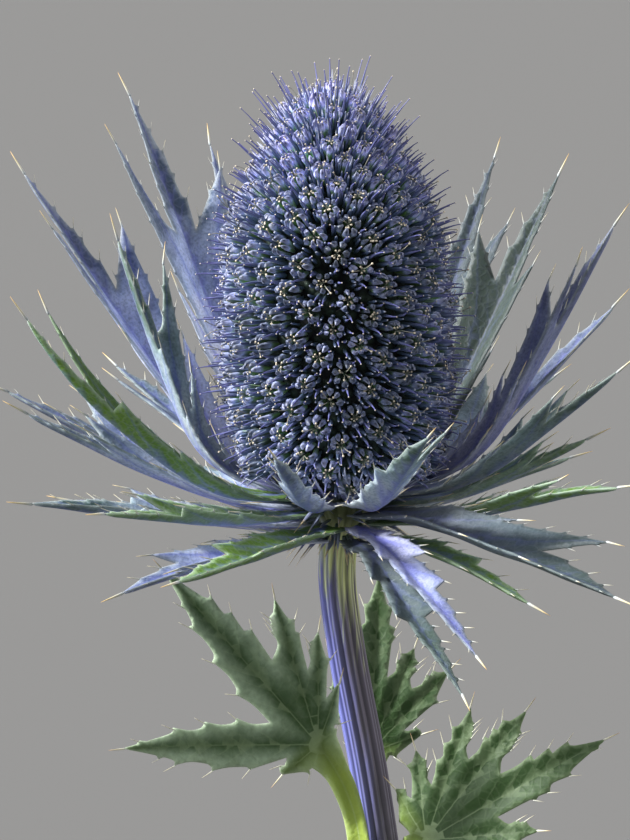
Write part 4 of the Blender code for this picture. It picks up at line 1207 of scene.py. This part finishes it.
def leaf_place(leaf):
    """A function from points of a leaf's flat outline to their places: the stalk clasps the stem and climbs
    beside it, then bends out to the palm."""
    azimuth = math.radians(leaf.azimuth)
    out = Vector((math.cos(azimuth), math.sin(azimuth), 0.0))
    centre, upward = stem_at(NODE_HEIGHT)
    out = (out - upward * out.dot(upward)).normalized()
    root = centre + out * (STEM_RADIUS * FLARE[0][1] + GAP + SOLID_BLADE / 2)
    palm = Vector(leaf.palm) * MM
    ahead = Vector(leaf.ahead).normalized()
    side = Vector(leaf.facing).cross(ahead).normalized()
    root_side = upward.cross(out)
    if root_side.dot(side) < 0:
        root_side = -root_side
    stalk = (palm - root).length
    pull = stalk * 0.4
    handles = np.array([root, root + upward * pull, palm - ahead * pull, palm])
    up = np.array(ahead.cross(side))
    ahead, side, root_side, palm = (np.array(v) for v in (ahead, side, root_side, palm))

    def place(points):
        x, y = points[:, 0:1], points[:, 1:2]
        t = np.clip(1 + x / stalk, 0, 1)
        weights = np.concatenate([(1 - t) ** 3, 3 * t * (1 - t) ** 2, 3 * t * t * (1 - t), t ** 3], 1)
        turned = smoothstep(t)
        clasping = weights @ handles + unit(root_side * (1 - turned) + side * turned) * y
        rise = leaf.cup * MM * (y / (10 * MM)) ** 2 - PALM_DROOP * (x / (20 * MM)) ** 2
        return np.where(x < 0, clasping, palm + ahead * x + side * y + up * rise)

    return place, stalk


def make_leaf_material(settings):
    """Leaf blade: leathery green with a thin waxy bloom, darker between the veins, its stalk yellow-green.
    The left leaf carries the most bloom, partly painted light, and the leaves with little bloom are darkened
    all over, the right one most, as painted shade. Its patterns lie on the flat mark too: clouds 3.5 mm wide,
    a net of veins 1.1 mm wide and mottling of 0.6 mm."""
    material, tree, shader = new_material("leathery leaf blade")
    flat = add(tree, "ShaderNodeAttribute", out="Vector", attribute_name="flat")
    cloud = add(tree, "ShaderNodeTexNoise", {"Vector": flat, "Scale": 0.28, "Detail": 3.0}, out="Fac")
    fine = add(tree, "ShaderNodeTexNoise", {"Vector": flat, "Scale": 1.6, "Detail": 4.0}, out="Fac")
    cells = add(tree, "ShaderNodeTexVoronoi", {"Vector": flat, "Scale": 0.9}, out="Distance",
                feature="DISTANCE_TO_EDGE")
    net = add(tree, "ShaderNodeMath", {0: cells, 1: -8.0, 2: 1.0}, operation="MULTIPLY_ADD", use_clamp=True)
    inner = add(tree, "ShaderNodeMath", {0: cloud, 1: 0.7, 2: "inner"}, operation="MULTIPLY_ADD")
    ahead = add(tree, "ShaderNodeSeparateXYZ", {0: flat})
    body = paint(tree, settings.blade, [
        # Waxy bloom, given most to the left leaf, partly as painted light
        (settings.bloom, 1.0, (inner, -0.5, 0.72), ("bloom", 0.95, 0.02)),
        (settings.shade, 1.0, (inner, 0.9, -0.6)),
        (settings.shade, 1.0, (fine, 0.9, -0.33)),
        # Painted shade: darkens whole leaves that have little bloom, the right leaf most
        (settings.shade, 1.0, ("bloom", -0.85, 0.85)),
        (settings.vein, 0.04, (net, 1.0, 0.0)),
        (settings.sheath, 1.0, (ahead, -0.2, 0.25)),
        (settings.vein, 0.45, ("vein", 4.0, -3.0), ("rib", 0.7, 0.05)),
        (settings.vein, 0.25, ("rim", 1.0, 0.0)),
    ])
    height = add(tree, "ShaderNodeMath", {0: net, 1: 0.25, 2: fine}, operation="MULTIPLY_ADD")
    bump = add(tree, "ShaderNodeBump", {"Strength": 0.4, "Distance": 0.15 * MM, "Height": height})
    connect(tree, shader, {"Base Color": body, "Normal": bump, "Roughness": 0.58, "Specular IOR Level": 0.3})
    let_light_through(tree, shader, 0.3)
    return material


def make_leaf(leaf, materials, settings):
    """One toothed leaf, which swells a little between its main veins."""
    place, stalk = leaf_place(leaf)
    corners, ribs = leaf_outline(leaf, stalk)
    draw = random.Random(f"{SEED} {leaf.name}")
    outline, spines = fair(corners, LEAF_OUTLINE_STEP, LEAF_TOOTH_GAP, 0.0, 0.0, draw)
    rows = [line for line, _, strength in ribs if strength == 1.0]
    starts = np.array([tuple(line[0]) for line in rows])
    ends = np.array([tuple(line[-1]) for line in rows])
    uneven = waves(draw, 0.09 * MM)
    ahead = Vector(leaf.ahead)
    normal = np.array(ahead.cross(Vector(leaf.facing).cross(ahead)).normalized())

    def lift(points):
        away = np.minimum(distance(points, starts, ends) / LEAF_SWELL_WIDTH, 1.0)
        return LEAF_SWELL * np.sin(away * math.pi / 2) + uneven(points)

    def lifted(points):
        return place(points) + normal * lift(points)[:, None]

    blade = grow_blade(outline, ribs, place, settings.grain, LEAF_THICKNESS, lift)
    points, faces, marks, kinds = join_blade(blade, grow_spines(spines, lifted), {"bloom": leaf.bloom})
    finish_piece("green_" + leaf.name, points, faces, marks, materials, leaf.name, None, kinds)


def make_leaves(settings):
    """The three leaves on the stem."""
    materials = [make_leaf_material(settings),
                 make_spine_material("leaf spine", LEAF_SPINE_FOOT, settings.spine_tip)]
    for leaf in LEAVES:
        make_leaf(leaf, materials, settings)


def make_stem_material(settings):
    """Stem skin: smooth and waxy, so it has soft highlights along its ribs, and a painted sheen on its ridges
    adds to them; its grooves are painted darker as painted shade. It is yellow-green under the head, painted
    paler there as painted light, and violet-blue below; its sunny side, the side towards the key lamp, is
    painted lighter and bluer as painted light, and the other side darker. It has streaks 0.5 mm wide and 20
    mm long."""
    material, tree, shader = new_material("waxy stem skin")
    place = add(tree, "ShaderNodeTexCoord", out="Object")
    stretched = add(tree, "ShaderNodeMapping", {"Vector": place, "Scale": (2.2 / MM, 2.2 / MM, 0.05 / MM)})
    streak = add(tree, "ShaderNodeTexNoise", {"Vector": stretched, "Scale": 1.0, "Detail": 3.0}, out="Fac")
    # The side towards the key lamp takes the sunny colour: painted light
    light = add(tree, "ShaderNodeMath", {0: streak, 1: 0.5, 2: "sunny"}, operation="MULTIPLY_ADD")
    side = add(tree, "ShaderNodeMath", {0: light, 1: 1.9, 2: -1.35}, operation="MULTIPLY_ADD",
               use_clamp=True)
    lower = add(tree, "ShaderNodeMath", {0: streak, 1: 0.3, 2: "height"}, operation="MULTIPLY_ADD")
    upper = add(tree, "ShaderNodeMath", {0: side, 1: -0.035, 2: lower}, operation="MULTIPLY_ADD")
    body = paint(tree, settings.shaded, [
        (settings.sunny, 1.0, (side, 1.0, 0.0)),
        (settings.foot, 1.0, (lower, -2.6, 2.0)),
        # Pale yellow-green under the head, painted paler as painted light
        (settings.top, 1.0, (upper, 12.5, -12.5)),
        # Painted shade in the grooves
        (settings.groove, 1.0, ("ridge", -0.5, 0.45)),
        # Painted sheen along the ridges
        (RIDGE_SHEEN, 1.0, ("ridge", 1.6, -1.25)),
        (settings.flare, 1.0, ("height", 60.0, -57.1)),
    ])
    bump = add(tree, "ShaderNodeBump", {"Strength": 0.3, "Distance": 0.1 * MM, "Height": streak})
    connect(tree, shader, {"Base Color": body, "Normal": bump, "Roughness": 0.32})
    return material


def make_stem(settings):
    """The ribbed stem: rounded ribs with narrow grooves between them."""
    sides, steps = 180, 10
    line = stem_line(steps)
    heights = np.array([place.z for place in line])
    shares = (heights - heights[0]) / (heights[-1] - heights[0])
    centres = np.array([tuple(place) for place in line])
    aheads = unit(np.gradient(centres, axis=0))
    across = unit(np.cross([0.0, 1.0, 0.0], aheads))
    over = np.cross(aheads, across)
    turns = 2 * math.pi * np.arange(sides) / sides
    groove = (0.5 - 0.5 * np.cos(STEM_RIBS * turns)) ** 1.5
    furrow = np.abs(np.cos(STEM_RIBS * turns)) ** 6
    section = STEM_RADIUS * (1 - RIB_DEPTH * groove - FINE_GROOVE * furrow)
    widths = np.array([flare_at(share) for share in shares])
    ring = np.cos(turns)[:, None] * across[:, None] + np.sin(turns)[:, None] * over[:, None]
    points = (centres[:, None] + widths[:, None, None] * section[:, None] * ring).reshape(-1, 3)
    low = np.arange(len(line) - 1)[:, None] * sides
    here = np.arange(sides)
    after = (here + 1) % sides
    quads = np.stack([low + here, low + after, low + sides + after, low + sides + here], -1).reshape(-1, 4)
    faces = quads.tolist() + [here[::-1].tolist(), (here + (len(line) - 1) * sides).tolist()]
    # sunny: how far each point faces the key lamp, for the painted light on that side
    marks = {"height": np.repeat(shares, sides), "ridge": np.tile((1 - groove) * (1 - furrow), len(line)),
             "sunny": 0.5 + 0.5 * (ring.reshape(-1, 3) @ np.array(SUNNY_WAY))}
    finish_piece("ribbed_stem", points, faces, marks, [make_stem_material(settings)], "stem")


def turned(name, profile):
    """A turned solid from (radius, height) points that run down its outside, both ends on the axis."""
    mesh = bpy.data.meshes.new(name)
    mesh.from_pydata([(radius, 0.0, height) for radius, height in profile],
                     [(i, i + 1) for i in range(len(profile) - 1)], [])
    piece = bpy.data.objects.new(name, mesh)
    bpy.context.scene.collection.objects.link(piece)
    screw = piece.modifiers.new("Turn", "SCREW")
    screw.axis = "Z"
    screw.steps = screw.render_steps = TURN_STEPS
    screw.use_merge_vertices = True
    screw.merge_threshold = 0.00001
    screw.use_smooth_shade = True
    return piece


def arc(centre, radius, start, end, steps=6):
    """(radius, height) points round an arc, in degrees from straight outwards."""
    turns = [math.radians(start + (end - start) * i / steps) for i in range(steps + 1)]
    return [(centre[0] + radius * math.cos(turn), centre[1] + radius * math.sin(turn)) for turn in turns]


def shoulder(inner, outer, high, low, steps=14):
    """(radius, height) round the bottle's shoulder, from under its neck to the top of its side."""
    turns = [math.pi / 2 * i / steps for i in range(1, steps + 1)]
    return [(inner + (outer - inner) * math.sin(turn), low + (high - low) * math.cos(turn)) for turn in turns]


def bottle_inside(settings, radius):
    """(radius, height) up the inside of the bottle, from the middle of its floor to under its lip."""
    inner = radius - settings.wall
    points = [(0.0, settings.floor)]
    points += arc((inner - HEEL, settings.floor + HEEL), HEEL, -90, 0, 8)
    points += shoulder(MOUTH_RADIUS, inner, NECK_BASE - settings.wall, SHOULDER_START - settings.wall)[::-1]
    return points


def make_clear_material(name, tint, ior):
    """A clear body with a smooth surface: it bends the light, and shows the lamps as sharp highlights."""
    material, tree, shader = new_material(name)
    connect(tree, shader, {"Base Color": tint, "Transmission Weight": 1.0, "Roughness": 0.0, "IOR": ior})
    return material


def make_bottle(settings):
    """The bottle, blown in a mould: one turned wall of clear glass with a rounded lip and heel."""
    low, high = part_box("bottle")
    radius, height = (high.x - low.x) / 2, high.z
    lip = LIP_ROUNDING
    profile = bottle_inside(settings, radius)
    profile += arc((MOUTH_RADIUS + lip, height - lip), lip, 180, 90)
    profile += arc((LIP_RADIUS - lip, height - lip), lip, 90, 0)
    profile += arc((LIP_RADIUS - lip, height - LIP_HEIGHT + lip), lip, 0, -80)
    profile += [(NECK_RADIUS + 0.4 * MM, height - LIP_HEIGHT - 0.2 * MM),
                (NECK_RADIUS, height - LIP_HEIGHT - 1 * MM), (NECK_RADIUS, NECK_BASE)]
    profile += shoulder(NECK_RADIUS, radius, NECK_BASE, SHOULDER_START)
    profile += arc((radius - HEEL, HEEL), HEEL, 0, -90, 8)
    profile += [(radius - 5 * MM, 0.0), (radius - 7 * MM, 0.7 * MM), (0.0, 1.1 * MM)]
    bottle = turned("glass_bottle", profile)
    glass = make_clear_material("clear soda-lime glass, blown in a mould", settings.glass, 1.52)
    bottle.data.materials.append(glass)
    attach(bottle, "root")
    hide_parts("bottle")


def make_water(settings):
    """The water, with the low rim where it wets the glass."""
    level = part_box("water")[1].z
    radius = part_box("bottle")[1].x
    wetted = [(r + WETTING if r else 0.0, z - WETTING)
              for r, z in bottle_inside(settings, radius) if z < level]
    edge = wetted[-1][0]
    climb = [(edge - 2.2 * MM, level), (edge - 1.1 * MM, level + 0.12 * MM),
             (edge - 0.4 * MM, level + 0.45 * MM), (edge, level + 1.1 * MM)]
    water = turned("bottle_water", [(0.0, level)] + climb + wetted[::-1])
    water.data.materials.append(make_clear_material("tap water", WATER_TINT, 1.333))
    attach(water, "root")
    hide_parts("water")


def make_sun(name, strength, softness, aim, tint):
    """A far soft lamp, shining along aim, so that it lights the paper evenly all the way back."""
    lamp = bpy.data.lights.new(name, "SUN")
    lamp.energy = strength
    lamp.angle = math.radians(softness)
    lamp.color = tint
    made = bpy.data.objects.new(name, lamp)
    made.rotation_euler = Vector(aim).to_track_quat("-Z", "Y").to_euler()
    bpy.context.scene.collection.objects.link(made)


def make_camera(settings):
    """A long lens a little above the flower, which fills the frame with it and cuts the stem below the
    leaves, as in the photograph."""
    lens = bpy.data.cameras.new("camera")
    lens.lens = lens.sensor_width * settings.distance / settings.frame_height
    lens.clip_start = 0.01
    camera = bpy.data.objects.new("camera", lens)
    back = Vector((0.0, -math.cos(settings.elevation), math.sin(settings.elevation)))
    camera.location = FRAME_MIDDLE + back * settings.distance
    camera.rotation_euler = (math.radians(90) - settings.elevation, 0.0, 0.0)
    bpy.context.scene.collection.objects.link(camera)
    bpy.context.scene.camera = camera


def make_stage(settings):
    """Plain grey paper that runs far back, soft lamps from the left and above, and the camera."""
    mesh = bpy.data.meshes.new("paper_floor")
    corners = [(-1, -1, 0), (1, -1, 0), (1, 1, 0), (-1, 1, 0)]
    mesh.from_pydata([Vector(corner) * PAPER_REACH for corner in corners], [], [(0, 1, 2, 3)])
    floor = bpy.data.objects.new("paper_floor", mesh)
    bpy.context.scene.collection.objects.link(floor)
    material, tree, shader = new_material("matt grey paper")
    connect(tree, shader, {"Base Color": settings.floor, "Roughness": 0.9, "Specular IOR Level": 0.1})
    mesh.materials.append(material)
    for lamp in LAMPS:
        make_sun(*lamp)
    world = bpy.data.worlds.new("studio")
    world.use_nodes = True
    connect(world.node_tree, world.node_tree.nodes["Background"], {"Color": STUDIO_GREY,
                                                                           "Strength": STUDIO_STRENGTH})
    bpy.context.scene.world = world
    bpy.context.scene.view_settings.view_transform = "Standard"
    make_camera(settings)


class HOLLY_OT_receptacle(bpy.types.Operator):
    """Grow the dark body under the florets"""
    bl_idname = "holly.receptacle"
    bl_label = "Receptacle"

    def execute(self, context):
        make_receptacle(context.scene.holly_florets)
        return {"FINISHED"}


class HOLLY_OT_florets(bpy.types.Operator):
    """Grow the ring of budding petals of each floret"""
    bl_idname = "holly.florets"
    bl_label = "Florets"

    def execute(self, context):
        make_florets(context.scene.holly_florets)
        return {"FINISHED"}


class HOLLY_OT_sepals(bpy.types.Operator):
    """Grow the pointed sepals round the petals"""
    bl_idname = "holly.sepals"
    bl_label = "Sepals"

    def execute(self, context):
        make_sepals(context.scene.holly_florets)
        return {"FINISHED"}


class HOLLY_OT_bristles(bpy.types.Operator):
    """Grow the violet bristles between the florets"""
    bl_idname = "holly.bristles"
    bl_label = "Bristles"

    def execute(self, context):
        make_bristles(context.scene.holly_florets)
        return {"FINISHED"}


class HOLLY_OT_stamens(bpy.types.Operator):
    """Grow the cream stamens"""
    bl_idname = "holly.stamens"
    bl_label = "Stamens"

    def execute(self, context):
        make_stamens(context.scene.holly_florets)
        return {"FINISHED"}


class HOLLY_OT_scales(bpy.types.Operator):
    """Grow the small pale scales under the cone"""
    bl_idname = "holly.scales"
    bl_label = "Scales"

    def execute(self, context):
        make_scales(context.scene.holly_florets)
        return {"FINISHED"}


class HOLLY_OT_bracts(bpy.types.Operator):
    """Grow the four tiers of spiny bracts"""
    bl_idname = "holly.bracts"
    bl_label = "Bracts"

    def execute(self, context):
        make_bracts(context.scene.holly_bracts)
        return {"FINISHED"}


class HOLLY_OT_basal_lobes(bpy.types.Operator):
    """Grow the small lobes that hang round the top of the stem"""
    bl_idname = "holly.basal_lobes"
    bl_label = "Basal Lobes"

    def execute(self, context):
        make_basal_lobes(context.scene.holly_bracts)
        return {"FINISHED"}


class HOLLY_OT_leaves(bpy.types.Operator):
    """Grow the three toothed leaves"""
    bl_idname = "holly.leaves"
    bl_label = "Leaves"

    def execute(self, context):
        make_leaves(context.scene.holly_leaves)
        return {"FINISHED"}


class HOLLY_OT_stem(bpy.types.Operator):
    """Grow the ribbed stem"""
    bl_idname = "holly.stem"
    bl_label = "Stem"

    def execute(self, context):
        make_stem(context.scene.holly_stem)
        return {"FINISHED"}


class HOLLY_OT_bottle(bpy.types.Operator):
    """Turn the glass bottle"""
    bl_idname = "holly.bottle"
    bl_label = "Bottle"

    def execute(self, context):
        make_bottle(context.scene.holly_bottle)
        return {"FINISHED"}


class HOLLY_OT_water(bpy.types.Operator):
    """Fill the bottle with water"""
    bl_idname = "holly.water"
    bl_label = "Water"

    def execute(self, context):
        make_water(context.scene.holly_bottle)
        return {"FINISHED"}


class HOLLY_OT_stage(bpy.types.Operator):
    """Lay the paper and set the lamps and the camera"""
    bl_idname = "holly.stage"
    bl_label = "Stage"

    def execute(self, context):
        make_stage(context.scene.holly_stage)
        return {"FINISHED"}


OPERATORS = [HOLLY_OT_receptacle, HOLLY_OT_florets, HOLLY_OT_sepals, HOLLY_OT_bristles, HOLLY_OT_stamens,
             HOLLY_OT_scales, HOLLY_OT_bracts, HOLLY_OT_basal_lobes, HOLLY_OT_leaves, HOLLY_OT_stem,
             HOLLY_OT_bottle, HOLLY_OT_water, HOLLY_OT_stage]


class HOLLY_PT_sidebar(bpy.types.Panel):
    """The pieces of the sea holly and their settings"""
    bl_label = "Sea Holly"
    bl_idname = "HOLLY_PT_sidebar"
    bl_space_type = "VIEW_3D"
    bl_region_type = "UI"
    bl_category = "Sea Holly"

    def draw(self, context):
        for group, settings_class in GROUPS.items():
            box = self.layout.box()
            for key in settings_class.__annotations__:
                box.prop(getattr(context.scene, group), key)
        for operator in OPERATORS:
            self.layout.operator(operator.bl_idname)


CLASSES = [*GROUPS.values(), *OPERATORS, HOLLY_PT_sidebar]


def register():
    """Registers the settings, the operators and the sidebar, and gives the scene its settings."""
    for made in CLASSES:
        bpy.utils.register_class(made)
    for name, settings_class in GROUPS.items():
        setattr(bpy.types.Scene, name, PointerProperty(type=settings_class))


def unregister():
    """Takes the settings, the operators and the sidebar away again."""
    for name in GROUPS:
        delattr(bpy.types.Scene, name)
    for made in reversed(CLASSES):
        bpy.utils.unregister_class(made)


def main():
    """Makes every piece and the stage through their operators."""
    register()
    bpy.ops.holly.receptacle()
    bpy.ops.holly.florets()
    bpy.ops.holly.sepals()
    bpy.ops.holly.bristles()
    bpy.ops.holly.stamens()
    bpy.ops.holly.scales()
    bpy.ops.holly.bracts()
    bpy.ops.holly.basal_lobes()
    bpy.ops.holly.leaves()
    bpy.ops.holly.stem()
    bpy.ops.holly.bottle()
    bpy.ops.holly.water()
    bpy.ops.holly.stage()
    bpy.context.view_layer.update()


if __name__ == "__main__":
    main()
